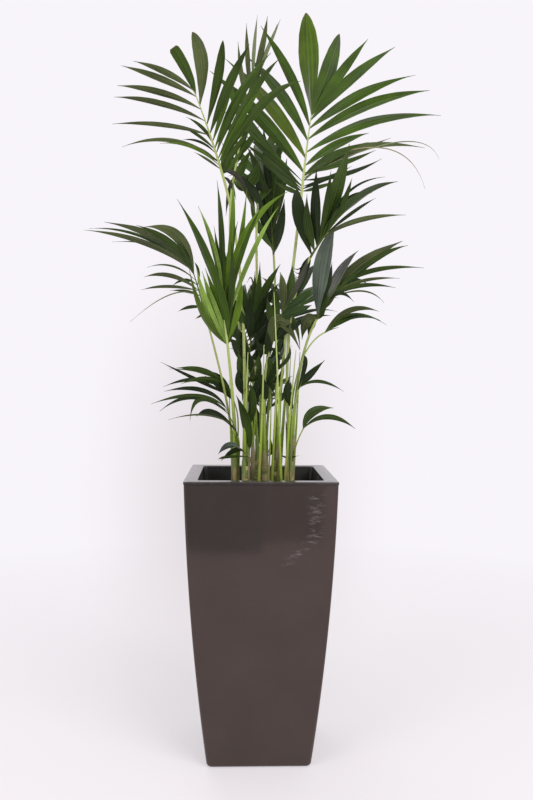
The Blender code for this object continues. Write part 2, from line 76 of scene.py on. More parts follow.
# Planter shell, as in the model
FOOT_WIDTH = 0.278
TOP_WIDTH = 0.3975
SIDE_BULGE = 0.0098
SHELL_WALL = 0.005
SHELL_FLOOR = 0.010
SHELL_RINGS = 56
SHELL_EDGE = 0.0009  # rounding of its upper edge
INSIDE_RINGS = 12
FOOT_ROUNDING = 0.010
FOOT_CORNER = 0.013
TOP_CORNER = 0.005
CORNER_STEPS = 7
GAP = 0.0003
SHELL_COLOUR = (0.043, 0.0355, 0.0335)
SHELL_TINT = (1.0, 0.68, 0.60)  # of what it reflects

# Handling marks on the shell's front, as a trail that leans right as it rises
SCUFF_FRONT = (-0.165, -0.150)
SCUFF_TRAIL = (0.560, 0.630, 0.066, 0.142)  # heights, and places to the right there
SCUFF_WIDTH = (0.006, 0.028)
SCUFF_START = (0.550, 0.575)
SCUFF_END = (0.750, 0.735)
SCUFF_COLOUR = (0.25, 0.23, 0.23)

# Liner, as in the model
RIM_HEIGHT = 0.770
RIM_THICKNESS = 0.0075
RIM_WIDTH = 0.400
RIM_BEVEL = 0.0012
MOUTH_WIDTH = 0.330
LINER_WALL = 0.003
LINER_DEPTH = 0.470
LINER_FOOT_WIDTH = 0.250
LINER_CORNER = 0.012
LINER_COLOUR = (0.048, 0.040, 0.038)
LINER_DUST = (0.12, 0.108, 0.104)
# Painted shade: the liner is given this darker colour inside, below these heights
LINER_INSIDE_SHADE = (0.012, 0.011, 0.011)
LINER_SHADE_BELOW = (0.762, 0.768)
LINER_DULL_BELOW = (0.758, 0.768)

# Soil
SOIL_TOP = 0.712
SOIL_CELLS = 90
SOIL_RELIEF = 0.006
SOIL_WAVES = 18
SOIL_PITCH = (20, 160)  # radians a metre
SOIL_FALLOFF = 0.6  # power of the pitch by which the shorter waves are lower
SOIL_SUNK = 0.6  # shares of the relief
SOIL_ROUGH = 0.9
SOIL_THICK = 0.06
CRUMBS = 900
CRUMB_HALVES = ((0.0015, 0.006), (0.0012, 0.004), (0.001, 0.0025))  # half sizes, least and most
CRUMB_CUT = (0.55, 1.0)  # how far each of its corners stands out
CRUMB_SLOPE = 0.5
CRUMB_SINK = 0.4  # its middle's height over the soil, as a share of half its height
CRUMB_INSET = 0.012  # how far crumbs keep from the liner
CRUMB_CLEAR = 0.018  # and from a stem's middle

# Stems
STEM_RADIUS = 0.0115
STEM_TAPER = 0.94
STEM_RINGS = 5
STEM_SIDES = 28
STEM_FOOT = SOIL_TOP - 0.012
CANE_SHARE = 0.80  # of the model's plain stem
STEM_END = 0.9
RING_RISE = 0.07  # a ring scar's height, as a share of the stem's radius
RING_SPREAD = 1.2
STEM_FLUTES = 9
STEM_FLUTING = 0.018
STEM_ROUGH = 0.008
STEM_STATIONS = 64

# Stalks and ribs
STALK_FLARE = 1.75
STALK_WAIST = 1.35
FLARE_PARTS = 3.5  # one in so many parts of the stalk has the flare
GROOVE_PARTS = 5  # and one in so many the start of its channel
STALK_SLIM = 0.78  # of the waist, where the rib starts
STALK_WAVE = (0.025, 60)  # share of the radius, and turns along it in radians a metre
STALK_SEAT = 0.0075
STALK_BEND = 0.9
BRIGHT_STALKS = ("frond_front_bright", "frond_top_right")
STALK_STATIONS = 44
RIB_STATIONS = 22
RIB_ARCH = 0.07
RIB_TIP_SHARE = 0.30
PALE_ABOVE = 1.50  # fronds lower than this have ribs darkened as painted shade, as dark as their leaflets
LIMB_SIDES = 14
LIMB_GROOVE = 0.34  # depth of the channel along a stalk's upper side, as a share of its radius

# Sheaths at the stalks' feet
SHEATH_SIDES = 22
SHEATH_ROWS = 12
SHEATH_WALL = 0.0006
SHEATH_BELOW = (0.030, 0.058)  # least and most that it reaches below and above its stalk's foot
SHEATH_ABOVE = (0.030, 0.110)
SHEATH_LOOSE = (1.30, 1.12)  # of the stalk's flare, at its foot and its top
SHEATH_FOOT = 0.72  # of its width, and how fast it widens from there, a metre
SHEATH_OPENS = 14
SHEATH_SPLIT = 0.15  # height at its split, as a share of the other side's
SHEATH_RAGGED = 0.002
SHEATH_LOBES = 5
SHEATH_LOBING = 0.03
FULL_SHEATH = 0.003  # radius of a stalk from which its sheath has its full height

# Heights between which the stalks' colours change
GREEN_ABOVE = (0.84, 1.15)
AGED_BELOW = (0.76, 0.86)
DARK_BELOW = (0.735, 0.790)

# Leaflets
LEAF_STATIONS = 24
LEAF_PROFILES = {  # place along the leaflet, share of its width
    "point": (
        (0.00, 0.10), (0.05, 0.22), (0.15, 0.52), (0.30, 0.86), (0.45, 1.00),
        (0.60, 0.93), (0.75, 0.66), (0.86, 0.34), (0.93, 0.13), (1.00, 0.03),
    ),
    "round": (
        (0.00, 0.08), (0.08, 0.22), (0.25, 0.62), (0.48, 0.97), (0.62, 1.00),
        (0.80, 0.82), (0.92, 0.50), (0.98, 0.24), (1.00, 0.08),
    ),
    "cut": (
        (0.00, 0.10), (0.08, 0.28), (0.30, 0.70), (0.60, 0.96), (0.86, 1.00),
        (0.97, 0.92), (1.00, 0.66),
    ),
}
LEAF_ACROSS = (-1.0, -0.82, -0.62, -0.40, -0.20, -0.07, 0.0, 0.07, 0.20, 0.40, 0.62, 0.82, 1.0)
LEAF_PLEATS = (0.0, 0.5, -0.3, 0.5, -0.3, 0.2, 1.1, 0.2, -0.3, 0.5, -0.3, 0.5, 0.0)
PLEAT_HEIGHT = 0.0011
PLEATS_BELOW = 0.7  # of that, on the underside
LEAF_THICK = 0.0007
LEAF_THIN = 0.4  # of that, where the leaflet is narrowest
LEAF_KEEL = 0.0010
FULL_HALF = 0.010  # half the width from which a leaflet's pleats and keel have their full height
LEAST_HALF = 0.0004
LEAF_FOLD = 0.26  # how far the margins hang below the midrib, as a share of half the width
FOLD_FOOT = 2.2  # times the fold, at the foot, and from halfway to the tip
FOLD_TIP = 0.6
LEAF_TILT = 14
LEAF_ROLL = 26  # degrees, at most, that a leaflet is turned about its own length
LEAF_TWIST = 26  # degrees, at most, from the foot to the tip
LEAF_SPREAD = 0.28  # how far the tips stand off the frond's blade, as a share of their length
MIDDLE_SHARE = 0.3  # of that, halfway along
LEAN_BACK = -0.08  # the spread's middle for a frond in front, and for one behind
LEAN_FORTH = 0.12
HIGHEST = 2.185  # a tip that would rise above this keeps to the frond's blade
WIDEST = 1.45  # a turned leaflet is at most this much wider than it seems
EDGE_ON = 0.1
LEAF_SWEEP = 0.10
STEEPEST = 0.55  # slope in depth that a frond's blade is given at most
LEAST_FACING = 0.5  # share of a blade that is taken to face the camera at least
RIB_FEET = (0.03, 0.98)  # where along the rib the first and the last leaflet stand, by the rule
STAGGER = 0.35  # of the spacing, by which the right hand's leaflets stand further on
UNEVEN = 0.010  # how far a tip stands off the outline at most, along the rib
WIDTHS_VARY = (0.9, 1.1)
ARCHES_VARY = (0.8, 1.25)
UPPER_ABOVE = 1.39  # a frond's leaflets join the upper, middle or lower piece by where its rib starts
LOWER_BELOW = 1.00

Stem = namedtuple("Stem", "name x y top")
STEMS = (
    Stem("stem_left", -0.067, 0.000, 0.800),
    Stem("stem_left_inner", -0.036, -0.032, 0.792),
    Stem("stem_back", -0.012, 0.040, 0.798),
    Stem("stem_front", 0.015, -0.034, 0.790),
    Stem("stem_right_inner", 0.049, 0.024, 0.822),
    Stem("stem_right", 0.087, -0.012, 0.804),
    Stem("stem_far_back", 0.014, 0.082, 0.800),
)

# Young shoots among the stalks: foot and top across the picture, the top's height in it, their depth,
# radius and shade. They stand in the soil.
Shoot = namedtuple("Shoot", "foot_x top_x top_y depth radius shade")
SHOOT_ROW = 478  # the picture's row where a shoot's foot is read
SHOOT_STATIONS = 26
SHOOT_SWELL = (1.9, 1.1, 0.35)  # at its foot, a third of the way up and at its tip
SHOOT_SWAY = (0.006, 0.010)  # at most, to the side and in depth
SHOOT_GROOVE = 0.2
SHOOT_PATTERN = 0.4  # metres of a stalk's pattern that it carries
SHOOTS = (
    Shoot(240, 231, 366, 0.030, 0.0020, "stalk"),
    Shoot(245, 248, 352, -0.030, 0.0028, "stalk_bright"),
    Shoot(251, 257, 372, 0.040, 0.0024, "stalk"),
    Shoot(258, 264, 345, -0.052, 0.0030, "stalk_bright"),
    Shoot(263, 262, 384, 0.060, 0.0022, "stalk"),
    Shoot(271, 279, 352, -0.045, 0.0030, "stalk_bright"),
    Shoot(276, 287, 366, 0.010, 0.0024, "stalk"),
    Shoot(282, 274, 292, -0.090, 0.0024, "stalk_bright"),
    Shoot(284, 296, 350, -0.030, 0.0026, "stalk_bright"),
    Shoot(287, 291, 345, 0.050, 0.0018, "sheath_dry"),
    Shoot(233, 229, 380, 0.040, 0.0018, "stalk"),
    Shoot(292, 300, 352, 0.020, 0.0028, "stalk_bright"),
    Shoot(279, 290, 338, 0.050, 0.0026, "stalk"),
    Shoot(267, 271, 396, -0.060, 0.0024, "stalk"),
)

# The model's fronds: each has its stem, by the place in STEMS, and a rib from top to tip. Its blade
# lies in the plane of the rib and the side, an angle in plan. The radius is the plain stalk's, and the
# shades are dealt out to leaflets that have none of their own.
Frond = namedtuple("Frond", "name stem top tip side radius shades", defaults=[()])
FRONDS = (
    Frond("frond_top_right", 4, (0.110, -0.030, 1.550), (0.145, 0.090, 1.800), 0, 0.0036),
    Frond("frond_top_left", 1, (-0.110, -0.050, 1.595), (-0.180, -0.130, 1.780), 5, 0.0034),
    Frond("frond_top_back", 2, (-0.080, 0.100, 1.610), (-0.025, 0.200, 1.920), 0, 0.0032,
          ("dark", "mid")),
    Frond("frond_mid_right", 5, (0.130, -0.090, 1.360), (0.195, -0.150, 1.450), 10, 0.0032),
    Frond("frond_mid_left", 0, (-0.155, 0.000, 1.215), (-0.200, 0.030, 1.360), -25, 0.0026),
    Frond("frond_front_bright", 0, (-0.090, -0.090, 1.120), (-0.110, -0.160, 1.275), 0, 0.0034),
    Frond("frond_right", 5, (0.155, -0.020, 1.200), (0.215, -0.060, 1.300), -15, 0.0032),
    Frond("frond_right_low", 5, (0.180, 0.000, 1.165), (0.220, 0.010, 1.180), -20, 0.0020),
    Frond("frond_centre_back", 4, (0.040, 0.130, 1.400), (0.030, 0.200, 1.560), 0, 0.0030),
    Frond("frond_centre_dark", 1, (-0.035, 0.000, 1.060), (-0.020, -0.010, 1.205), 0, 0.0030,
          ("deep", "dark", "blue")),
    Frond("frond_centre_front", 3, (0.025, -0.030, 1.110), (0.060, -0.080, 1.220), 0, 0.0030,
          ("deep", "blue", "dark")),
    Frond("frond_low_left", 0, (-0.072, 0.022, 0.965), (-0.098, 0.005, 1.020), 20, 0.0018),
    Frond("frond_low_left_front", 0, (-0.062, -0.025, 0.875), (-0.095, -0.055, 0.955), -20, 0.0018),
    Frond("frond_low_small", 1, (-0.030, -0.050, 0.820), (-0.060, -0.070, 0.845), 0, 0.0015),
    Frond("frond_low_right", 5, (0.105, -0.030, 1.005), (0.115, -0.040, 1.030), 0, 0.0020),
    Frond("frond_sprig", 5, (0.120, -0.020, 0.895), (0.130, -0.020, 0.910), 0, 0.0015),
    Frond("frond_back_high", 6, (-0.008, 0.130, 1.540), (0.010, 0.330, 1.690), 0, 0.0032,
          ("dark", "mid")),
    Frond("frond_back_right", 6, (0.060, 0.120, 1.170), (0.105, 0.300, 1.270), -15, 0.0030,
          ("dark", "deep")),
    Frond("frond_back_left", 2, (-0.030, 0.135, 1.110), (-0.050, 0.300, 1.200), 0, 0.0030,
          ("dark", "deep")),
    Frond("frond_back_low", 6, (0.018, 0.135, 0.960), (0.020, 0.290, 1.000), 0, 0.0026,
          ("dark", "blue")),
)

# The fronds at the back have leaflets by the model's rule: the tips follow a curve on each hand, the
# cup lifts them and the arch curves them over. Count is the leaflets on each hand, width a side
# leaflet's and end_width the last pair's.
WIDE_RIGHT = ((0.02, 0.10), (0.26, 0.15), (0.48, 0.04))
WIDE_LEFT = ((0.02, -0.10), (0.26, -0.15), (0.48, -0.04))
SLIM_RIGHT = ((0.02, 0.06), (0.20, 0.09), (0.38, 0.03))
SLIM_LEFT = ((0.02, -0.06), (0.20, -0.09), (0.38, -0.03))
STEEP_RIGHT = ((0.16, 0.04), (0.34, 0.08), (0.50, 0.03))
STEEP_LEFT = ((0.16, -0.06), (0.34, -0.12), (0.50, -0.04))
Rule = namedtuple("Rule", "cup arch count width end_width right left")
RULES = {
    "frond_back_high": Rule(0.10, 0.10, 8, 0.022, 0.032, STEEP_RIGHT, STEEP_LEFT),
    "frond_back_right": Rule(0.00, 0.12, 8, 0.022, 0.032, WIDE_RIGHT, WIDE_LEFT),
    "frond_back_left": Rule(0.00, 0.12, 8, 0.022, 0.032, WIDE_RIGHT, SLIM_LEFT),
    "frond_back_low": Rule(0.00, 0.15, 6, 0.020, 0.026, SLIM_RIGHT, SLIM_LEFT),
}

# Leaflets that show from the front, as the frond carries them: where the foot stands along the rib
# (below 0, down the stalk), the place halfway along and the tip as they are seen in the picture, in
# its pixels, the width in the same, the shade unless it is dealt out, and the shape unless pointed.
ROWS = {
    "frond_top_right": (
        (1.00, 308.5, 60, 306, 13, 18.0, "light", "round"),
        (1.00, 327.0, 75, 339.5, 34, 14.0, "mid", "round"),
        (0.97, 341, 73, 368, 39, 8.5, "mid"),
        (0.90, 351, 79, 395, 47, 9.0, "mid"),
        (0.78, 361, 93, 416, 75, 9.0, "mid"),
        (0.62, 367, 104.5, 430, 90.5, 9.5, "mid"),
        (0.45, 371, 120.5, 441, 115.5, 9.5, "mid"),
        (0.28, 335, 145, 369, 133, 8.0, "mid"),
        (0.16, 333, 155, 369, 142, 7.5, "dark"),
        (0.10, 357, 148, 425, 148, 6.5, "olive"),
        (0.16, 398, 142, 439, 159, 1.2, "pale"),
        (0.28, 386, 148.5, 425, 189, 1.1, "straw"),
        (0.14, 348, 155, 391, 138, 4.5, "olive"),
        (0.20, 342, 163, 376, 150, 5.0, "dark"),
        (0.12, 345, 174, 382, 158.5, 4.5, "deep"),
        (0.05, 328, 178, 352, 166, 4.0, "deep"),
        (0.80, 289, 74, 260.5, 25.5, 8.5, "mid"),
        (0.60, 280, 92, 246, 56, 9.5, "mid"),
        (0.38, 269.5, 103, 225, 58.5, 11.0, "gold"),
        (0.20, 260.5, 118, 210, 71, 11.5, "mid"),
        (0.05, 258, 137, 222, 80, 9.5, "dark"),
        (0.10, 268, 149, 238, 124, 3.0, "mid"),
        (0.04, 267, 154, 241, 132, 2.5, "dark"),
        (0.02, 270, 163, 243, 142, 5.0, "dark"),
        (0.00, 276, 172, 254, 155, 4.0, "dark"),
        (0.00, 287, 181, 270, 168, 5.0, "dark"),
        (-0.01, 289, 189, 274, 181, 4.5, "dark"),
        (0.00, 318, 187, 338, 181, 4.0, "dark"),
        (0.02, 321, 181, 346, 172, 3.5, "deep"),
    ),
    "frond_top_left": (
        (1.00, 166, 72.5, 133, 61, 6.0, "olive"),
        (0.92, 160, 78.5, 121, 65.6, 6.0, "olive"),
        (0.75, 160, 92.5, 117, 85.6, 6.0, "olive"),
        (0.60, 160, 103.5, 114, 97, 5.5, "olive"),
        (0.42, 163, 125, 112, 124, 4.5, "olive"),
        (0.12, 172, 140.5, 122, 147, 4.0, "olive"),
        (0.06, 192, 147, 160, 143.6, 3.0, "light"),
        (0.25, 199, 136, 180, 125.6, 3.0, "dark"),
        (0.20, 200, 142, 182, 140, 2.5, "deep"),
        (0.95, 186.5, 71, 173, 47.5, 10.0, "dark", "cut"),
        (0.80, 202, 64, 192.4, 32, 13.0, "olive", "round"),
        (0.55, 218, 80, 223, 40.5, 9.0, "dark", "round"),
        (0.44, 229, 85, 249.5, 44, 9.0, "dark"),
        (0.34, 225, 104, 238, 60, 5.5, "mid"),
        (0.26, 240, 95, 271, 52.6, 8.0, "mid"),
        (0.20, 232, 115, 250, 78, 6.0, "dark"),
        (0.14, 250, 97, 280, 58, 7.5, "dark"),
        (0.10, 240, 120, 262, 88, 6.0, "mid"),
        (0.06, 261, 106, 301, 81, 8.0, "dark"),
        (0.03, 241, 129, 266, 106, 5.5, "dark"),
        (0.01, 228, 144, 239, 116, 6.5, "mid"),
        (0.00, 235, 150, 252, 128, 5.5, "dark"),
        (-0.01, 228, 162, 233, 144, 6.0, "dark"),
        (-0.01, 232, 164, 243, 148, 5.0, "mid"),
        (0.30, 203, 128.5, 186, 117, 3.5, "dark"),
        (0.10, 207, 153, 196, 146, 2.5, "deep"),
        (0.02, 208, 160, 194, 152, 2.5, "olive"),
        (0.00, 236, 175, 247, 192, 5.0, "plum"),
        (-0.02, 231, 184, 236, 200, 3.5, "plum"),
    ),
    "frond_top_back": (
        (1.00, 254, 50, 257.5, 15, 3.5, "pale"),
        (1.00, 262, 48, 267.5, 16, 5.5, "olive"),
        (1.00, 268, 48, 280.5, 19, 3.5, "pale"),
        (0.97, 266, 54, 277, 24, 3.0, "pale"),
        (0.90, 247.5, 58, 246.5, 23, 4.5, "olive"),
        (0.75, 241.5, 75, 238, 41, 4.5, "olive"),
        (0.65, 254, 86, 264, 62, 6.0),
        (0.50, 234, 102, 228, 76, 5.0),
        (0.40, 252, 114, 265, 95, 6.0),
        (0.30, 231, 130, 225, 110, 5.0),
        (0.20, 249, 142, 259, 126, 6.0),
        (0.10, 228, 158, 222, 142, 4.5),
        (0.05, 243, 163, 252, 148, 5.5),
        (0.08, 251, 187, 264, 212, 9.0, "deep"),
        (0.02, 247, 190, 256, 218, 7.0, "olive"),
        (0.00, 250, 180, 258, 160, 11.0, "mid"),
        (0.15, 240, 152, 247, 137, 7.0, "dark"),
        (0.05, 234, 168, 231, 150, 7.0, "dark"),
        (0.00, 239, 173, 250, 158, 8.0, "mid"),
        (0.25, 244, 136, 251, 118, 6.0, "dark"),
        (0.00, 245, 186, 252, 172, 9.0, "dark"),
        (0.04, 229, 192, 226, 216, 4.0, "deep"),
    ),
    "frond_centre_back": (
        (0.02, 280, 228, 284.5, 199, 9.0, "deep"),
        (0.05, 269, 205, 266, 138, 12.0, "dark"),
        (0.20, 262, 205, 255, 165, 9.0, "deep"),
        (0.40, 281, 190, 287, 158, 8.5, "dark"),
        (0.70, 259, 176, 247, 146, 8.0, "dark"),
        (0.80, 276, 172, 281, 138, 8.5, "dark"),
        (0.90, 267, 165, 263, 126, 8.0, "deep"),
        (0.10, 266, 226, 261, 196, 8.0, "deep"),
        (0.15, 262, 212, 256, 180, 9.0, "mid"),
        (0.10, 258, 226, 250, 200, 7.0, "mid"),
    ),
    "frond_mid_right": (
        (0.30, 335.5, 195, 349.5, 143.5, 13.5, "dark"),
        (0.25, 315.5, 210, 316.5, 168, 10.5, "deep"),
        (0.05, 301, 220, 297, 189, 14.0, "deep", "round"),
        (0.40, 357, 200.5, 398, 181.5, 15.5, "dark"),
        (0.55, 352, 213, 376, 198, 3.5, "deep"),
        (0.42, 357, 221, 406, 215, 5.0, "olive"),
        (0.50, 345, 201, 372, 193, 3.0, "deep"),
        (0.60, 348, 193, 385, 177, 3.0, "deep"),
        (0.35, 327, 203, 331, 170, 6.0, "dark"),
        (0.15, 308, 228, 307, 194, 9.0, "dark"),
        (0.02, 304, 272, 296, 300, 8.5, "deep"),
        (0.00, 300, 268.5, 293, 267, 1.3, "deep"),
        (0.00, 301, 272, 294, 270.5, 1.3, "deep"),
        (0.00, 301, 275.5, 294.5, 274.5, 1.3, "deep"),
        (0.90, 345, 199, 352, 178, 5.0, "dark"),
    ),
    "frond_right": (
        (0.05, 322, 265, 336, 224, 17.0, "blue"),
        (0.30, 338, 273, 358.5, 250.5, 10.0, "ash"),
        (0.25, 356, 269.5, 402.5, 241, 13.5, "olive"),
        (0.20, 331, 296, 341, 280, 7.0, "olive"),
        (0.00, 322, 309, 329, 292, 7.0, "dark"),
        (0.45, 372, 262, 408, 245.5, 5.5, "dark"),
        (0.70, 371, 271, 424, 268, 5.0, "dark"),
        (0.60, 362, 281, 400, 278.5, 3.5, "olive"),
        (0.50, 359, 286, 396, 288, 4.5, "dark"),
        (0.80, 352, 280, 368, 284, 4.5, "deep"),
        (0.30, 338, 293, 354, 302, 4.5, "deep"),
        (0.50, 362, 291, 384, 303, 1.8, "olive"),
        (0.00, 306, 321, 302, 340, 12.0, "olive"),
        (0.00, 311, 326, 308, 336, 7.0, "dark"),
        (0.15, 328, 285, 332, 262, 5.5, "deep"),
    ),
    "frond_right_low": (
        (0.00, 349, 310.5, 379, 311.5, 6.0, "olive"),
        (0.00, 350, 316, 380.5, 320.5, 8.5, "dark"),
        (0.05, 352, 314, 386.5, 325, 3.0, "dark"),
    ),
    "frond_mid_left": (
        (0.76, 177, 236, 144, 227, 11.0, "olive"),
        (0.74, 160, 240, 104, 222, 7.5, "olive"),
        (0.78, 170, 243, 136, 225, 7.0, "dark"),
        (0.80, 145, 243, 84, 230, 5.5, "olive"),
        (0.82, 143, 237, 89, 228.5, 3.0, "dark"),
        (0.70, 185, 258, 176, 240, 6.0, "dark"),
        (0.80, 160, 247, 112, 242, 2.2, "olive"),
        (0.60, 172, 266, 147, 267.5, 2.0, "olive"),
        (0.40, 171, 276, 144, 277, 4.5, "olive"),
        (0.40, 168, 286.5, 141, 290, 3.2, "olive"),
        (0.30, 187, 291.5, 170, 290.5, 3.0, "dark"),
        (0.25, 172, 294, 130, 322, 1.2, "pale"),
        (0.10, 190, 307, 178, 311.5, 3.5, "dark"),
        (0.00, 201, 315.5, 195, 319, 2.5, "dark"),
        (0.50, 185, 280, 171.5, 286.5, 3.0, "dark"),
        (0.50, 198, 271, 194, 262, 3.0, "dark"),
    ),
    "frond_front_bright": (
        (0.45, 206, 256, 177, 199, 9.0, "mid"),
        (0.60, 215, 254, 198, 206, 5.5, "bright"),
        (0.70, 222, 240, 217, 180, 6.0, "dark"),
        (0.30, 243, 241, 288, 191.6, 8.0, "fresh"),
        (0.50, 232, 240, 233, 173, 6.0, "fresh"),
        (0.40, 243, 250, 262, 207, 5.0, "mid"),
        (0.30, 251, 256, 279, 206, 5.0, "bright"),
        (0.40, 238, 258, 247, 188, 6.0, "fresh"),
        (0.60, 229, 262, 238, 221, 6.5, "mid"),
        (0.02, 204, 317, 189, 268, 8.5, "light"),
        (0.03, 210, 314, 196, 266, 8.5, "bright"),
        (0.04, 215, 311, 202, 271, 8.0, "bright"),
        (0.05, 219, 309, 205, 268, 8.0, "fresh"),
        (0.08, 224, 306, 213, 262, 7.5, "mid"),
        (0.02, 233, 318, 231, 268, 7.0, "dark"),
        (0.15, 227, 290, 223, 240, 6.5, "dark"),
        (1.00, 219, 262, 214, 226, 5.5, "light"),
        (0.20, 232, 287, 231, 240, 6.5, "dark"),
        (0.05, 238, 310, 241, 272, 7.0, "fresh"),
    ),
    "frond_centre_dark": (
        (1.00, 254, 300, 255, 271, 6.5, "dark"),
        (1.00, 258, 298, 260, 262, 7.5, "dark"),
        (1.00, 252.5, 281.5, 247, 283, 1.4, "deep"),
        (0.90, 252, 289, 248, 291, 1.4, "deep"),
        (0.80, 252.5, 296, 249.5, 299, 1.4, "deep"),
        (0.90, 264, 293, 280.5, 264, 8.5, "dark"),
        (0.80, 266, 302, 279, 283, 8.0, "deep"),
        (0.85, 246, 305, 243, 285, 7.5),
        (0.70, 241, 318, 234, 296, 8.5),
        (0.60, 266, 318, 276, 300, 9.0),
        (0.60, 258, 320, 264, 296, 11.0, "deep"),
        (0.50, 250, 320, 250, 292, 10.0, "deep"),
        (0.40, 268, 329, 281, 315, 10.0),
        (0.30, 240, 338, 232, 321, 9.0, "deep"),
        (0.30, 260, 338, 270, 322, 11.0, "deep"),
        (0.05, 285, 319, 300, 350, 11.0, "dark"),
        (0.05, 243, 345, 236, 330, 9.0, "dark"),
        (0.02, 258, 356, 263, 345, 9.0, "deep"),
        (-0.02, 254, 362, 255, 375, 4.5, "straw"),
        (-0.02, 238, 352, 230, 337, 8.0, "deep"),
        (-0.04, 248, 364, 246, 346, 12.0, "deep"),
        (-0.10, 256, 374, 259, 350, 11.0, "dark"),
        (-0.12, 242, 371, 238, 350, 10.0, "dark"),
        (-0.06, 245, 382, 242, 402, 8.0, "deep"),
        (-0.30, 238, 384, 239.5, 366, 6.5, "deep"),
        (-0.35, 256, 392, 261, 373, 11.0, "deep"),
        (-0.60, 252, 404, 250, 382, 9.0, "dark"),
        (-0.88, 246, 424, 236, 395, 10.0, "dark"),
    ),
    "frond_centre_front": (
        (1.00, 290, 288, 292, 264, 9.0, "dark"),
        (0.85, 283, 290, 280, 272, 8.0, "olive"),
        (0.90, 300, 282, 308, 257, 6.5, "plum"),
        (1.00, 301, 299, 312.5, 288, 8.5, "emerald"),
        (0.80, 298, 311, 312, 305, 8.0, "emerald"),
        (0.60, 288, 314, 297, 298, 9.5, "emerald"),
        (0.50, 271, 316, 267, 297, 9.0),
        (0.45, 276, 305, 273, 284, 7.5, "dark"),
        (0.40, 288, 329, 304, 321, 9.0, "deep"),
        (-0.05, 279, 320.5, 300, 350, 13.0, "olive"),
        (-0.08, 268, 345, 266, 330, 7.5, "deep"),
        (-0.12, 281, 346, 280, 331, 8.5, "deep"),
        (-0.25, 286, 362, 289, 346, 6.0, "dark"),
        (-0.35, 276, 366, 277, 350, 6.5, "deep"),
        (0.20, 281, 334, 290, 324, 8.0, "deep"),
        (0.10, 262, 350, 256, 338, 9.0, "deep"),
        (-0.10, 281, 357, 284, 342, 8.5, "blue"),
        (-0.30, 270, 373, 266, 350, 11.5, "dark"),
        (-0.08, 270, 374, 274, 396, 9.0, "dark"),
        (-0.20, 279, 380, 284, 358, 8.0, "deep"),
        (-0.45, 263, 388, 258, 368, 9.0, "deep"),
    ),
    "frond_low_left": (
        (0.30, 198, 380.5, 160.5, 362, 4.0, "deep"),
        (1.00, 203, 371, 176, 368, 6.5, "dark"),
        (0.60, 198, 379.5, 163, 387, 4.5, "deep"),
        (0.80, 206, 379, 181, 384, 5.0, "dark"),
        (0.90, 205, 373, 169, 369, 2.5, "olive"),
        (0.10, 221, 387, 205, 376, 7.0, "deep"),
        (0.20, 222, 381, 209, 371, 7.0, "deep"),
    ),
    "frond_low_left_front": (
        (0.90, 202, 390.5, 164, 391.5, 4.5, "deep"),
        (0.95, 195, 396, 151, 404, 4.0, "dark"),
        (0.85, 192, 397.5, 159.5, 411.5, 4.0, "deep"),
        (0.70, 201, 399, 190, 421, 5.5, "dark"),
        (0.10, 214, 413.5, 196, 416.5, 6.0, "deep"),
        (0.30, 205, 415, 168, 420, 2.0, "olive"),
    ),
    "frond_low_small": (
        (0.90, 229, 445.5, 218, 454.5, 6.0, "blue"),
        (0.50, 234, 451, 221, 461, 5.0, "deep"),
        (0.00, 228, 457, 218, 459.5, 3.0, "dark"),
    ),
    "frond_low_right": (
        (0.30, 309, 376, 325, 360, 7.5, "deep"),
        (0.10, 319, 381.5, 343.5, 391.5, 3.5, "dark"),
        (-0.30, 287, 394, 290, 377, 8.5, "deep"),
        (-0.08, 305, 365, 303, 356, 5.0, "deep"),
        (-0.96, 291, 458, 299, 455.5, 2.2, "deep"),
        (-0.96, 285, 457, 281, 455, 1.8, "deep"),
    ),
    "frond_sprig": (
        (0.00, 313, 412, 333.5, 408, 9.0, "dark"),
        (0.00, 328, 417, 355.5, 429, 5.5, "dark"),
    ),
    "frond_back_low": (
        (-0.85, 258, 426, 255, 402, 11.0, "deep"),
        (-0.30, 270, 402, 271, 385, 5.5, "deep"),
        (-0.92, 270.5, 452, 270.5, 437, 5.0, "deep"),
        (-0.20, 287, 392, 290, 378, 6.0, "deep"),
        (-0.10, 257, 390, 262, 372, 9.0, "deep"),
        (-0.20, 243, 385, 239, 366, 6.0, "deep"),
        (0.10, 272, 380, 279, 362, 8.0, "deep"),
    ),
}

# The greens of leaflets: blade, midrib. Partly their own greens and partly painted light: the deep
# and dark greens stand in for leaflets in shade, the lighter and brighter ones for lit leaflets, and
# the blue for a painted sheen.
LEAF_SHADES = {
    "deep": ((0.011, 0.021, 0.004), (0.030, 0.048, 0.014)),
    "dark": ((0.027, 0.049, 0.006), (0.060, 0.095, 0.020)),
    "plum": ((0.040, 0.040, 0.030), (0.070, 0.075, 0.045)),
    "emerald": ((0.022, 0.044, 0.010), (0.045, 0.078, 0.022)),
    "blue": ((0.072, 0.090, 0.070), (0.130, 0.155, 0.110)),
    "ash": ((0.082, 0.086, 0.074), (0.130, 0.140, 0.100)),
    "olive": ((0.054, 0.068, 0.022), (0.110, 0.130, 0.050)),
    "mid": ((0.034, 0.068, 0.004), (0.080, 0.135, 0.020)),
    "gold": ((0.052, 0.084, 0.004), (0.110, 0.160, 0.022)),
    "pale": ((0.130, 0.155, 0.080), (0.200, 0.230, 0.110)),
    "straw": ((0.240, 0.205, 0.120), (0.300, 0.260, 0.160)),
    "light": ((0.056, 0.098, 0.006), (0.115, 0.175, 0.026)),
    "fresh": ((0.078, 0.140, 0.008), (0.160, 0.250, 0.035)),
    "bright": ((0.160, 0.250, 0.045), (0.300, 0.400, 0.120)),
}

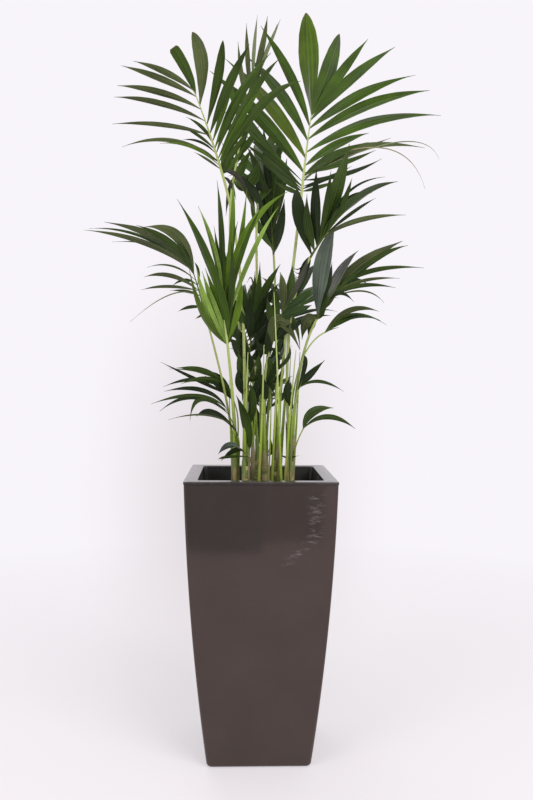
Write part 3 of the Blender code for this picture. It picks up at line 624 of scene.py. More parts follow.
# Stalks and sheaths: below, above. A stalk's paler colour above is partly its own and partly painted
# highlight.
STALK_SHADES = {
    "stalk": ((0.190, 0.285, 0.018), (0.390, 0.450, 0.165)),
    "stalk_bright": ((0.270, 0.390, 0.026), (0.440, 0.510, 0.190)),
    # painted shade: the colour of the ribs of the lower fronds
    "rib_dark": ((0.070, 0.100, 0.018), (0.070, 0.100, 0.018)),
}
SHEATH_SHADES = {
    "sheath": ((0.330, 0.280, 0.110), (0.150, 0.215, 0.035)),
    "sheath_dry": ((0.160, 0.115, 0.060), (0.290, 0.250, 0.120)),
}

DRY_TIP = (0.10, 0.070, 0.040)
STALK_FLECKS = (0.16, 0.15, 0.05)
STALK_AGED = (0.280, 0.220, 0.090)
# the colour that the stalks darken to towards the soil
STALK_DARKER_LOW = (0.050, 0.046, 0.018)
SHEATH_FIBRES = (0.075, 0.055, 0.022)
STEM_GRAIN = (0.055, 0.045, 0.020)

# A cane's colours, by how its noise rises
STEM_COLOURS = (
    (0.30, (0.050, 0.062, 0.014)),
    (0.44, (0.100, 0.140, 0.026)),
    (0.53, (0.260, 0.250, 0.080)),
    (0.61, (0.460, 0.390, 0.190)),
    (0.72, (0.110, 0.070, 0.032)),
)

# Potting mix and the crumbs in it: dark, pale, how fine the grain is
SOIL_SHADES = {
    "soil": ((0.010, 0.007, 0.005), (0.030, 0.020, 0.013), 120.0),
    "bark": ((0.050, 0.028, 0.015), (0.110, 0.065, 0.035), 90.0),
    "bark_dark": ((0.018, 0.012, 0.008), (0.050, 0.032, 0.020), 90.0),
}


def blend(a, b, share):
    return a + (b - a) * share


def through(points, share):
    """The curve through three points at the foot, the middle and the tip, read at this share."""
    foot, middle, tip = points
    return (
        foot * ((1 - share) * (1 - 2 * share))
        + middle * (4 * share * (1 - share))
        + tip * (share * (2 * share - 1))
    )


def read_rows(table, place):
    """A value from rows of place and value, in straight lines between them."""
    for (start, low), (end, high) in zip(table, table[1:]):
        if place <= end:
            return blend(low, high, (place - start) / (end - start))
    return table[-1][1]


def round_plan(angle):
    """The level direction at an angle in radians."""
    return Vector((math.cos(angle), math.sin(angle), 0))


def plan_direction(degrees):
    return round_plan(math.radians(degrees))


def arc_over(start, end, crown, steps):
    """Points on the curve from start to end that is drawn towards the crown point."""
    points = []
    for step in range(steps + 1):
        share = step / steps
        points.append(blend(blend(start, crown, share), blend(crown, end, share), share))
    return points


def direction_at(points, step):
    return (points[min(step + 1, len(points) - 1)] - points[max(step - 1, 0)]).normalized()


def point_along(points, share):
    place = min(max(share, 0), 1) * (len(points) - 1)
    step = min(int(place), len(points) - 2)
    return blend(points[step], points[step + 1], place - step)


def placed(name, data):
    """A new object in the scene."""
    item = bpy.data.objects.new(name, data)
    bpy.context.scene.collection.objects.link(item)
    return item


class Mould:
    """Vertices, faces, places on the pattern and shades gathered for one joined mesh."""

    def __init__(self):
        self.points = []
        self.faces = []
        self.places = []
        self.shades = []

    def add(self, points, faces, places, shade):
        start = len(self.points)
        self.points.extend(tuple(point) for point in points)
        self.places.extend(places)
        self.faces.extend(tuple(start + corner for corner in face) for face in faces)
        self.shades.extend([shade] * len(faces))

    def loft(self, rings, places, shade, capped=True):
        """A skin through rings of one size, closed by caps or by joining its last ring to its first."""
        size = len(rings[0])
        last = (len(rings) - 1) * size
        points = [point for ring in rings for point in ring]
        faces = [tuple(range(size - 1, -1, -1))] if capped else []
        for number in range(len(rings) - capped):
            near, far = number * size, (number + 1) % len(rings) * size
            for corner in range(size):
                following = (corner + 1) % size
                faces.append((near + corner, near + following, far + following, far + corner))
        if capped:
            faces.append(tuple(range(last, last + size)))
        self.add(points, faces, places, shade)

    def piece(self, name, materials, sharp):
        """The mesh as one object, smooth but for edges sharper than this angle."""
        mesh = bpy.data.meshes.new(name)
        mesh.from_pydata(self.points, [], self.faces)
        used = sorted(set(self.shades))
        for shade in used:
            mesh.materials.append(materials[shade])
        slots = np.array([used.index(shade) for shade in self.shades], np.int32)
        mesh.polygons.foreach_set("material_index", slots)
        corners = np.empty(len(mesh.loops), np.int32)
        mesh.loops.foreach_get("vertex_index", corners)
        layer = mesh.uv_layers.new(name="Pattern")
        layer.data.foreach_set("uv", np.array(self.places, np.float32)[corners].ravel())
        mesh.shade_smooth()
        mesh.set_sharp_from_angle(angle=math.radians(sharp))
        mesh.update()
        item = placed(name, mesh)
        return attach(item, "root")


def blade_of(frond):
    """The directions of a frond's blade: along its rib, out to its right hand, and off its face."""
    along = (Vector(frond.tip) - Vector(frond.top)).normalized()
    side = plan_direction(frond.side)
    across = (side - along * side.dot(along)).normalized()
    return along, across, across.cross(along)


def rib_line(frond, steps):
    top, tip = Vector(frond.top), Vector(frond.tip)
    crown = blend(top, tip, 0.5) + UP * ((tip - top).length * RIB_ARCH)
    return arc_over(top, tip, crown, steps)


def seats():
    """Where each stalk stands on its stem: spread evenly round the top, in the order they lean."""
    places = {}
    for number, stem in enumerate(STEMS):
        carried = [frond for frond in FRONDS if frond.stem == number]
        leans = {
            frond.name: math.degrees(math.atan2(frond.top[1] - stem.y, frond.top[0] - stem.x))
            for frond in carried
        }
        carried.sort(key=lambda frond: leans[frond.name])
        spacing = 360 / len(carried)
        start = sum(leans[f.name] - spacing * k for k, f in enumerate(carried)) / len(carried)
        centre = Vector((stem.x, stem.y, stem.top))
        for order, frond in enumerate(carried):
            offset = plan_direction(start + spacing * order) * STALK_SEAT
            places[frond.name] = centre + (offset if len(carried) > 1 else Vector())
    return places


def stalk_line(frond, seat):
    """A stalk leaves its stem upright and ends in line with its rib."""
    end = Vector(frond.top)
    rib = rib_line(frond, steps=4)
    ahead = (rib[1] - rib[0]).normalized()
    pull = (end - seat).length * STALK_BEND
    points = []
    for step in range(STALK_STATIONS + 1):
        t = step / STALK_STATIONS
        points.append(
            seat * (2 * t**3 - 3 * t**2 + 1)
            + UP * (pull * (t**3 - 2 * t**2 + t))
            + end * (3 * t**2 - 2 * t**3)
            + ahead * (pull * (t**3 - t**2))
        )
    return points


def limb_ring(centre, ahead, outward, radius, groove):
    """A stalk's section: round below, with a shallow channel towards its upper side."""
    side = ahead.cross(outward).normalized()
    above = side.cross(ahead)
    ring = []
    for corner in range(LIMB_SIDES):
        angle = 2 * math.pi * corner / LIMB_SIDES
        dip = max(0, math.cos(angle)) ** 4 * groove
        reach = radius * (1 - dip)
        ring.append(centre + above * (math.cos(angle) * reach) + side * (math.sin(angle) * reach))
    return ring


def add_shoot(limbs, bases, shoot, chance):
    """A young stalk that tapers from the soil to its tip, with its own sheath."""
    plane = Vector((0, shoot.depth, 0))
    foot = seen_at(shoot.foot_x, SHOOT_ROW, plane, (0, 0))
    foot.z = STEM_FOOT
    top = seen_at(shoot.top_x, shoot.top_y, plane, (0, 0))
    sway = Vector((*(chance.uniform(-most, most) for most in SHOOT_SWAY), 0))
    line = arc_over(foot, top, blend(foot, top, 0.5) + sway, SHOOT_STATIONS)
    outward = plan_direction(chance.uniform(0, 360))
    at_foot, at_waist, at_tip = SHOOT_SWELL
    rings, places = [], []
    for number, point in enumerate(line):
        share = number / SHOOT_STATIONS
        swell = blend(blend(at_foot, at_waist, min(1, share * 3)), at_tip, share**3)
        ahead = direction_at(line, number)
        rings.append(limb_ring(point, ahead, outward, shoot.radius * swell, SHOOT_GROOVE))
        places.extend((corner / LIMB_SIDES, share * SHOOT_PATTERN) for corner in range(LIMB_SIDES))
    limbs.loft(rings, places, shoot.shade)
    add_leaf_base(bases, shoot.radius, line, chance)


def add_leaf_base(mould, radius, line, chance):
    """The split sheath that wraps a stalk's foot: it starts down the stem and tears open above."""
    below = chance.uniform(*SHEATH_BELOW)
    above = chance.uniform(*SHEATH_ABOVE) * min(1, radius / FULL_SHEATH)
    opening = chance.uniform(0, 2 * math.pi)
    foot = line[0]
    rise = (line[1] - line[0]).length
    wide = radius * STALK_FLARE
    outer, inner = [], []
    for row in range(SHEATH_ROWS + 1):
        for skin, inset in ((outer, 0), (inner, SHEATH_WALL)):
            ring = []
            for side in range(SHEATH_SIDES):
                angle = 2 * math.pi * side / SHEATH_SIDES
                away = abs(math.remainder(angle - opening, 2 * math.pi)) / math.pi
                top = above * blend(SHEATH_SPLIT, 1, away**0.8)
                top += chance.uniform(-SHEATH_RAGGED, SHEATH_RAGGED)
                height = blend(-below, top, row / SHEATH_ROWS)
                if height <= 0:
                    centre = foot + UP * height
                else:
                    step = min(int(height / rise), len(line) - 2)
                    centre = blend(line[step], line[step + 1], height / rise - step)
                loose = blend(*SHEATH_LOOSE, min(1, max(0, (height + below) / (above + below))))
                reach = wide * loose * (1 + SHEATH_LOBING * math.sin(angle * SHEATH_LOBES)) - inset
                reach *= min(1, SHEATH_FOOT + (height + below) * SHEATH_OPENS)
                ring.append(centre + round_plan(angle) * reach)
            skin.append(ring)
    heights = [row / SHEATH_ROWS for row in range(SHEATH_ROWS + 1)]
    heights += heights[::-1]
    places = [(side / SHEATH_SIDES, height) for height in heights for side in range(SHEATH_SIDES)]
    shade = chance.choice(("sheath", "sheath", "sheath_dry"))
    mould.loft(outer + inner[::-1], places, shade, capped=False)


def add_limb(mould, frond, seat, chance):
    """The stalk from its seat and the rib to its tip, as one tapering limb with a groove above."""
    stalk = stalk_line(frond, seat)
    rib = rib_line(frond, RIB_STATIONS)
    line = stalk + rib[1:]
    _, _, face = blade_of(frond)
    rings, places = [], []
    lengths = [0]
    for a, b in zip(line, line[1:]):
        lengths.append(lengths[-1] + (b - a).length)
    foot_length = lengths[len(stalk) - 1]
    wave = chance.uniform(0, 6)
    wave_rise, wave_pitch = STALK_WAVE
    for number, point in enumerate(line):
        ahead = direction_at(line, number)
        share = min(1, lengths[number] / foot_length)
        if number < len(stalk):
            swell = blend(STALK_FLARE, STALK_WAIST, min(1, share * FLARE_PARTS))
            swell *= blend(1, STALK_SLIM, share)
        else:
            along_rib = (number - len(stalk) + 1) / RIB_STATIONS
            swell = STALK_WAIST * STALK_SLIM * blend(1, RIB_TIP_SHARE, along_rib)
        swell *= 1 + wave_rise * math.sin(lengths[number] * wave_pitch + wave)
        groove = LIMB_GROOVE * min(1, share * GROOVE_PARTS)
        outward = face if share > 0.5 else blend(-plan_direction(wave * 60), face, share * 2)
        rings.append(limb_ring(point, ahead, outward, frond.radius * swell, groove))
        places.extend((corner / LIMB_SIDES, lengths[number]) for corner in range(LIMB_SIDES))
    shade = "stalk_bright" if frond.name in BRIGHT_STALKS else "stalk"
    mould.loft(rings, places, shade)
    # painted shade: the ribs of the lower fronds take a darker colour
    if frond.top[2] < PALE_ABOVE and shade == "stalk":
        rib_faces = RIB_STATIONS * LIMB_SIDES + 1
        mould.shades[-rib_faces:] = ["rib_dark"] * rib_faces


def camera_turn():
    """The camera's directions: right, up and back."""
    yaw, pitch, roll = (math.radians(angle) for angle in (CAMERA_YAW, CAMERA_PITCH, CAMERA_ROLL))
    level = Vector((math.sin(yaw), math.cos(yaw), 0))
    ahead = level * math.cos(pitch) - UP * math.sin(pitch)
    upright = UP * math.cos(pitch) + level * math.sin(pitch)
    right = Vector((math.cos(yaw), -math.sin(yaw), 0))
    across = right * math.cos(roll) + upright * math.sin(roll)
    above = upright * math.cos(roll) - right * math.sin(roll)
    return across, above, -ahead


def seen_at(x, y, through_point, slopes, nearer=0.0):
    """The point that is seen at a place in the picture, on a sloping plane through another point."""
    start = Vector(CAMERA_PLACE)
    across, above, back = camera_turn()
    sight = across * (x - PICTURE_WIDTH / 2) - above * (y - PICTURE_HEIGHT / 2) - back * FOCAL_PIXELS
    rise, swing = slopes
    offset = through_point - start
    gap = offset.y - nearer - rise * offset.z - swing * offset.x
    return start + sight * (gap / (sight.y - rise * sight.z - swing * sight.x))


Leaflet = namedtuple("Leaflet", "foot tip crown face width roll twist shade shape")


def widening(foot, tip, face, roll):
    """How much wider a leaflet is than it seems from the camera, for its turn about its length."""
    ahead = (tip - foot).normalized()
    side = Matrix.Rotation(roll, 3, ahead) @ ahead.cross(face).normalized()
    sight = (Vector(CAMERA_PLACE) - blend(foot, tip, 0.5)).normalized()
    seen_length = math.sqrt(1 - ahead.dot(sight) ** 2)
    return min(WIDEST, seen_length / max(EDGE_ON, abs(side.cross(ahead).dot(sight))))


def turns(chance):
    """How far a leaflet is rolled about its own length at its foot, and twisted on to its tip."""
    return [math.radians(chance.uniform(-most, most)) for most in (LEAF_ROLL, LEAF_TWIST)]


def tilted(face_way, across_way, hand):
    """The way a leaflet faces, tilted towards the rib from its own hand."""
    return face_way + across_way * (hand * math.tan(math.radians(LEAF_TILT)))


def leaflets_seen(frond, stalk, chance):
    """The frond's leaflets that the rows give, standing off its own blade in depth."""
    _, across_way, face_way = blade_of(frond)
    rib = rib_line(frond, RIB_STATIONS)
    depth = min(face_way.y, -LEAST_FACING)
    slopes = [min(max(-tilt / depth, -STEEPEST), STEEPEST) for tilt in (face_way.z, face_way.x)]
    lean = LEAN_BACK if frond.top[1] < 0 else LEAN_FORTH
    leaflets = []
    for share, middle_x, middle_y, tip_x, tip_y, width, *extra in ROWS.get(frond.name, ()):
        foot = point_along(rib, share) if share >= 0 else point_along(stalk, 1 + share)
        reach = (seen_at(tip_x, tip_y, foot, slopes) - foot).length
        nearer = reach * (lean + chance.uniform(-LEAF_SPREAD, LEAF_SPREAD))
        middle = seen_at(middle_x, middle_y, foot, slopes, nearer * MIDDLE_SHARE)
        tip = seen_at(tip_x, tip_y, foot, slopes, nearer)
        if tip.z > HIGHEST:
            tip = seen_at(tip_x, tip_y, foot, slopes)
        crown = middle * 2 - (foot + tip) * 0.5
        hand = 1 if (tip - foot).dot(across_way) > 0 else -1
        face = tilted(face_way, across_way, hand)
        roll, twist = turns(chance)
        distance = (tip - Vector(CAMERA_PLACE)).length
        true_width = width * distance / FOCAL_PIXELS * widening(foot, tip, face, roll + twist / 2)
        shade = extra[0] if extra else chance.choice(frond.shades)
        shape = extra[1] if len(extra) > 1 else "point"
        leaflets.append(Leaflet(foot, tip, crown, face, true_width, roll, twist, shade, shape))
    return leaflets


def leaflets_by_rule(frond, rule, chance):
    """Every leaflet of the frond, alternating along the rib, with the last two at its tip."""
    along_way, across_way, face_way = blade_of(frond)
    rib = rib_line(frond, RIB_STATIONS)
    leaflets = []
    last = rule.count - 1
    for number in range(rule.count):
        for hand, outline in ((1, rule.right), (-1, rule.left)):
            share = (number + (STAGGER if hand > 0 and number < last else 0)) / last
            foot = point_along(rib, blend(*RIB_FEET, share))
            along, across = through([Vector(point) for point in outline], share)
            along += chance.uniform(-UNEVEN, UNEVEN)
            tip = Vector(frond.top) + along_way * along + across_way * across
            length = (tip - foot).length
            spread = length * chance.uniform(-LEAF_SPREAD, LEAF_SPREAD)
            tip += face_way * (rule.cup * abs(across) + spread)
            crown = blend(foot, tip, 0.5) + UP * (length * rule.arch * chance.uniform(*ARCHES_VARY))
            crown += along_way * (length * LEAF_SWEEP) - face_way * (spread * MIDDLE_SHARE)
            face = tilted(face_way, across_way, hand)
            width = blend(rule.width, rule.end_width, share**3) * chance.uniform(*WIDTHS_VARY)
            roll, twist = turns(chance)
            shade = chance.choice(frond.shades)
            leaflets.append(Leaflet(foot, tip, crown, face, width, roll, twist, shade, "point"))
    return leaflets


def add_leaflet(mould, leaflet):
    """A pleated blade with a raised midrib and a keel below, thin at its margins."""
    line = arc_over(leaflet.foot, leaflet.tip, leaflet.crown, LEAF_STATIONS)
    rings, places = [], []
    for step, point in enumerate(line):
        share = step / LEAF_STATIONS
        ahead = direction_at(line, step)
        side = ahead.cross(leaflet.face).normalized()
        side = Matrix.Rotation(leaflet.roll + leaflet.twist * share, 3, ahead) @ side
        above = side.cross(ahead)
        half = max(LEAST_HALF, leaflet.width / 2 * read_rows(LEAF_PROFILES[leaflet.shape], share))
        slender = min(1, half / FULL_HALF)
        fold = LEAF_FOLD * blend(FOLD_FOOT, FOLD_TIP, min(1, share * 2))
        thick = LEAF_THICK * blend(LEAF_THIN, 1, slender)
        rows = list(zip(LEAF_ACROSS, LEAF_PLEATS))
        ring = []
        for across, pleat in rows:
            drop = pleat * PLEAT_HEIGHT * slender - abs(across) * half * fold
            ring.append(point + side * (across * half) + above * drop)
            places.append(((across + 1) / 2, share))
        for across, pleat in rows[-2:0:-1]:
            keel = LEAF_KEEL * slender if across == 0 else 0
            pleated = pleat * PLEAT_HEIGHT * slender * PLEATS_BELOW
            drop = pleated - abs(across) * half * fold - thick - keel
            ring.append(point + side * (across * half) + above * drop)
            places.append(((across + 1) / 2, share))
        rings.append(ring)
    mould.loft(rings, places, leaflet.shade)


def square_ring(width, corner, height):
    """A square with rounded corners, as points in plan at this height."""
    points = []
    reach = width / 2 - corner
    for quarter in range(4):
        centre = plan_direction(45 + 90 * quarter) * (reach * math.sqrt(2))
        for step in range(CORNER_STEPS + 1):
            angle = 90 * quarter + 90 * step / CORNER_STEPS
            points.append(centre + plan_direction(angle) * corner + UP * height)
    return points


def shell_width(height):
    share = height / (RIM_HEIGHT - RIM_THICKNESS)
    return blend(FOOT_WIDTH, TOP_WIDTH, share) + 2 * SIDE_BULGE * 4 * share * (1 - share)


def shell_corner(height):
    return blend(FOOT_CORNER, TOP_CORNER, height / RIM_HEIGHT)


def quarter_round(radius, angles):
    """Insets and rises along a rounded edge: 0 degrees on its level face, 90 on its upright one."""
    for angle in map(math.radians, angles):
        yield radius * (1 - math.sin(angle)), radius * (1 - math.cos(angle))


def plain_places(rings):
    return [(0, 0) for ring in rings for _ in ring]


def make_planter(materials):
    """The shell: rounded foot, curved taper, crisp upper edge and its inside."""
    top = RIM_HEIGHT - RIM_THICKNESS - GAP
    rings = []
    for inset, height in quarter_round(FOOT_ROUNDING, range(0, 91, 15)):
        rings.append(square_ring(shell_width(height) - 2 * inset, FOOT_CORNER - inset / 2, height))
    for step in range(1, SHELL_RINGS + 1):
        height = blend(FOOT_ROUNDING, top - SHELL_EDGE, step / SHELL_RINGS)
        rings.append(square_ring(shell_width(height), shell_corner(height), height))
    for inset, fall in quarter_round(SHELL_EDGE, (60, 30, 0)):
        rings.append(square_ring(shell_width(top) - 2 * inset, TOP_CORNER - inset, top - fall))
    for step in range(INSIDE_RINGS, -1, -1):
        height = blend(SHELL_FLOOR, top, step / INSIDE_RINGS)
        corner = shell_corner(height) - SHELL_WALL / 2
        rings.append(square_ring(shell_width(height) - 2 * SHELL_WALL, corner, height))
    mould = Mould()
    mould.loft(rings, plain_places(rings), "planter")
    piece = mould.piece("planter_shell", materials, sharp=40)
    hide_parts("planter")


def liner_width(height):
    return blend(MOUTH_WIDTH, LINER_FOOT_WIDTH, (RIM_HEIGHT - height) / LINER_DEPTH)


def make_liner(materials):
    """The liner: a flat rim with softened edges, and the tapering bucket that hangs from it."""
    under_rim = RIM_HEIGHT - RIM_THICKNESS
    foot = RIM_HEIGHT - LINER_DEPTH
    rings = [
        square_ring(LINER_FOOT_WIDTH + 2 * LINER_WALL, LINER_CORNER, foot - LINER_WALL),
        square_ring(liner_width(under_rim) + 2 * LINER_WALL, LINER_CORNER, under_rim),
        square_ring(RIM_WIDTH - 2 * RIM_BEVEL, TOP_CORNER, under_rim),
    ]
    for inset, rise in quarter_round(RIM_BEVEL, (30, 60, 90)):
        rings.append(square_ring(RIM_WIDTH - 2 * inset, TOP_CORNER, under_rim + rise))
    for inset, fall in quarter_round(RIM_BEVEL, (90, 60, 30, 0)):
        rings.append(square_ring(RIM_WIDTH - 2 * inset, TOP_CORNER, RIM_HEIGHT - fall))
    for inset, fall in quarter_round(RIM_BEVEL, (0, 30, 60, 90)):
        rings.append(square_ring(MOUTH_WIDTH + 2 * inset, LINER_CORNER, RIM_HEIGHT - fall))
    for step in range(1, INSIDE_RINGS + 1):
        height = blend(RIM_HEIGHT - RIM_BEVEL, foot, step / INSIDE_RINGS)
        rings.append(square_ring(liner_width(height), LINER_CORNER, height))
    mould = Mould()
    mould.loft(rings, plain_places(rings), "liner")
    piece = mould.piece("liner_rim", materials, sharp=40)
    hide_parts("liner")


def within_liner(x, y, height):
    """A place in plan kept inside the liner's rounded square at this height."""
    reach = liner_width(height) / 2 - GAP
    start = reach - LINER_CORNER
    x, y = (max(-reach, min(reach, value)) for value in (x, y))
    past_x, past_y = max(0, abs(x) - start), max(0, abs(y) - start)
    past = math.hypot(past_x, past_y)
    if past <= LINER_CORNER:
        return x, y
    share = LINER_CORNER / past
    return math.copysign(start + past_x * share, x), math.copysign(start + past_y * share, y)


def soil_surface(chance):
    """Gives the soil's height at any place in plan, from waves of many ways and lengths."""
    waves = [
        (chance.uniform(*SOIL_PITCH), chance.uniform(0, 2 * math.pi), chance.uniform(0, 6))
        for _ in range(SOIL_WAVES)
    ]

    def level(x, y):
        rise = sum(
            math.sin(pitch * (x * math.cos(way) + y * math.sin(way)) + phase) / pitch**SOIL_FALLOFF
            for pitch, way, phase in waves
        )
        return SOIL_TOP - SOIL_RELIEF * SOIL_SUNK + SOIL_RELIEF * SOIL_ROUGH * rise

    return level


def add_bed(mould, level, width):
    """The soil's uneven top, a skirt down the liner's wall and a flat underside."""
    lowest = SOIL_TOP - SOIL_RELIEF
    cells = SOIL_CELLS
    points, places, faces = [], [], []
    for row in range(cells + 1):
        for column in range(cells + 1):
            x, y = within_liner(*((k / cells - 0.5) * width for k in (column, row)), lowest)
            points.append(Vector((x, y, level(x, y))))
            places.append((x, y))
    span = cells + 1
    for row in range(cells):
        for column in range(cells):
            corner = row * span + column
            faces.append((corner, corner + 1, corner + span + 1, corner + span))
    rim = list(range(span)) + [span * k - 1 for k in range(2, span + 1)]
    rim += [span * span - k for k in range(2, span + 1)] + [span * k for k in range(span - 2, 0, -1)]
    depth = SOIL_TOP - SOIL_THICK
    low = len(points)
    for corner in rim:
        points.append(Vector((*within_liner(points[corner].x, points[corner].y, depth), depth)))
        places.append((0, 0))
    for number in range(len(rim)):
        following = (number + 1) % len(rim)
        faces.append((rim[following], rim[number], low + number, low + following))
    faces.append(tuple(low + k for k in range(len(rim) - 1, -1, -1)))
    mould.add(points, faces, places, "soil")


def add_crumbs(mould, level, width, chance):
    """Uneven little boxes, turned at random and half sunk in the soil."""
    square = ((-1, -1), (1, -1), (1, 1), (-1, 1))
    box = [(x, y, z) for z in (-1, 1) for x, y in square]
    box_faces = ((3, 2, 1, 0), (4, 5, 6, 7), (0, 1, 5, 4), (1, 2, 6, 5), (2, 3, 7, 6), (3, 0, 4, 7))
    reach = width / 2 - CRUMB_INSET
    for _ in range(CRUMBS):
        x, y = chance.uniform(-reach, reach), chance.uniform(-reach, reach)
        if any(math.hypot(x - stem.x, y - stem.y) < CRUMB_CLEAR for stem in STEMS):
            continue
        size = Vector([chance.uniform(*limits) for limits in CRUMB_HALVES])
        swing, slope = chance.uniform(0, 6.28), chance.uniform(-CRUMB_SLOPE, CRUMB_SLOPE)
        turn = Matrix.Rotation(swing, 3, "Z") @ Matrix.Rotation(slope, 3, "X")
        centre = Vector((x, y, level(x, y) + size.z * CRUMB_SINK))
        corners = []
        for corner in box:
            shape = Vector(a * b * chance.uniform(*CRUMB_CUT) for a, b in zip(corner, size))
            corners.append(centre + turn @ shape)
        mould.add(corners, box_faces, [(0, 0)] * 8, chance.choice(("soil", "bark", "bark_dark")))


def make_soil(materials):
    """Potting mix: an uneven bed with crumbs of bark and grit pressed into it."""
    chance = random.Random("soil")
    level = soil_surface(chance)
    width = liner_width(SOIL_TOP - SOIL_RELIEF) - 2 * GAP
    mould = Mould()
    add_bed(mould, level, width)
    add_crumbs(mould, level, width, chance)
    piece = mould.piece("soil_bed", materials, sharp=35)
    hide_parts("soil")


def make_stems(materials):
    """Slender canes with ring scars and fine ribs."""
    canes = Mould()
    for stem in STEMS:
        chance = random.Random(stem.name)
        rings, places = [], []
        for step in range(STEM_STATIONS + 1):
            share = step / STEM_STATIONS
            height = blend(STEM_FOOT, stem.top, share)
            bump = 0
            for ring in range(STEM_RINGS):
                away = (share - (ring + 0.5) / STEM_RINGS) * STEM_STATIONS
                bump += RING_RISE * math.exp(-(away**2) / RING_SPREAD)
            radius = STEM_RADIUS * blend(1, STEM_TAPER, share) * (CANE_SHARE + bump)
            if step == STEM_STATIONS:
                radius *= STEM_END
            points = []
            for side in range(STEM_SIDES):
                angle = 2 * math.pi * side / STEM_SIDES
                flute = STEM_FLUTING * math.sin(angle * STEM_FLUTES + share * 2)
                reach = radius * (1 + flute + chance.uniform(-STEM_ROUGH, STEM_ROUGH))
                points.append(Vector((stem.x, stem.y, height)) + round_plan(angle) * reach)
                places.append((side / STEM_SIDES, height))
            rings.append(points)
        canes.loft(rings, places, "stem")
    cane = canes.piece("stem_canes", materials, sharp=60)
    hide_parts(*(stem.name for stem in STEMS))


def level_of(frond):
    if frond.top[2] > UPPER_ABOVE:
        return "upper"
    return "middle" if frond.top[2] > LOWER_BELOW else "lower"


def make_plant(materials):
    """Stalks with their ribs, the sheaths at their feet, and the leaflets in three pieces."""
    places = seats()
    limbs, bases = Mould(), Mould()
    crowns = {"upper": Mould(), "middle": Mould(), "lower": Mould()}
    for frond in FRONDS:
        chance = random.Random(frond.name)
        stalk = stalk_line(frond, places[frond.name])
        leaflets = leaflets_seen(frond, stalk, chance)
        if frond.name in RULES:
            leaflets += leaflets_by_rule(frond, RULES[frond.name], chance)
        for leaflet in leaflets:
            add_leaflet(crowns[level_of(frond)], leaflet)
        add_limb(limbs, frond, places[frond.name], chance)
        add_leaf_base(bases, frond.radius, stalk, chance)
    for shoot in SHOOTS:
        add_shoot(limbs, bases, shoot, random.Random(f"shoot {shoot.foot_x}"))
    limb = limbs.piece("stalks_and_ribs", materials, sharp=60)
    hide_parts(*(frond.name.replace("frond", "stalk") for frond in FRONDS))
    sheath = bases.piece("leaf_sheaths", materials, sharp=60)
    for level, mould in crowns.items():
        piece = mould.piece(f"leaflets_{level}", materials, sharp=60)
        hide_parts(*(frond.name for frond in FRONDS if level_of(frond) == level))


class Nodes:
    """Builds one material's node tree, each node wired as it is made."""

    def __init__(self, name, colour, roughness):
        self.material = bpy.data.materials.new(name)
        self.material.use_nodes = True
        self.material.diffuse_color = (*colour, 1)
        self.tree = self.material.node_tree
        self.shader = self.tree.nodes["Principled BSDF"]
        self.shader.inputs["Base Color"].default_value = (*colour, 1)
        self.shader.inputs["Roughness"].default_value = roughness

    def make(self, kind, **inputs):
        node = self.tree.nodes.new(kind)
        for key, value in inputs.items():
            self.set(node.inputs[key.replace("_", " ")], value)
        return node

    def set(self, socket, value):
        if isinstance(value, bpy.types.NodeSocket):
            self.tree.links.new(value, socket)
        else:
            socket.default_value = value

    def where(self, output):
        return self.make("ShaderNodeTexCoord").outputs[output]

    def stretched(self, vector, scale, turn=(0, 0, 0)):
        node = self.make("ShaderNodeMapping", Vector=vector, Scale=scale, Rotation=turn)
        return node.outputs["Vector"]

    def noise(self, vector, scale, detail, rough=0.55):
        inputs = {"Vector": vector, "Scale": scale, "Detail": detail, "Roughness": rough}
        return self.make("ShaderNodeTexNoise", **inputs).outputs["Fac"]

    def ramp(self, value, stops):
        node = self.make("ShaderNodeValToRGB", Fac=value)
        elements = node.color_ramp.elements
        while len(elements) < len(stops):
            elements.new(0.5)
        for element, (place, colour) in zip(elements, stops):
            element.position = place
            element.color = (*colour, 1)
        return node.outputs["Color"]

    def fade(self, value, low, high, to_low=0.0, to_high=1.0, kind="LINEAR"):
        node = self.tree.nodes.new("ShaderNodeMapRange")
        node.interpolation_type = kind
        self.set(node.inputs["Value"], value)
        ends = {"From Min": low, "From Max": high, "To Min": to_low, "To Max": to_high}
        for key, number in ends.items():
            node.inputs[key].default_value = number
        return node.outputs["Result"]

    def math(self, operation, a, b=0.0):
        node = self.tree.nodes.new("ShaderNodeMath")
        node.operation = operation
        self.set(node.inputs[0], a)
        self.set(node.inputs[1], b)
        return node.outputs["Value"]

    def mix(self, factor, a, b):
        node = self.tree.nodes.new("ShaderNodeMix")
        node.data_type = "RGBA"
        for key, value in (("Factor", factor), ("A", a), ("B", b)):
            found = [s for s in node.inputs if s.name == key and (key == "Factor" or s.type == "RGBA")]
            self.set(found[0], (*value, 1) if isinstance(value, tuple) else value)
        return [s for s in node.outputs if s.type == "RGBA"][0]

    def split(self, vector):
        return self.make("ShaderNodeSeparateXYZ", Vector=vector).outputs

    def bump(self, height, strength, distance):
        node = self.make("ShaderNodeBump", Height=height, Strength=strength, Distance=distance)
        self.set(self.shader.inputs["Normal"], node.outputs["Normal"])

    def layers(self, body, *over):
        """Colours the shader, with layers over the body: what each follows, its fade and colour."""
        for value, ends, colour in over:
            body = self.mix(self.fade(value, *ends) if ends else value, body, colour)
        self.set(self.shader.inputs["Base Color"], body)

    def rough(self, socket):
        self.set(self.shader.inputs["Roughness"], socket)

    def specular(self, level):
        self.set(self.shader.inputs["Specular IOR Level"], level)

    def glow(self, colour):
        return self.make("ShaderNodeEmission", Color=colour, Strength=1.0).outputs["Emission"]

    def show(self, socket):
        self.set(self.tree.nodes["Material Output"].inputs["Surface"], socket)


def scaled(colour, factor):
    return tuple(min(1, channel * factor) for channel in colour)


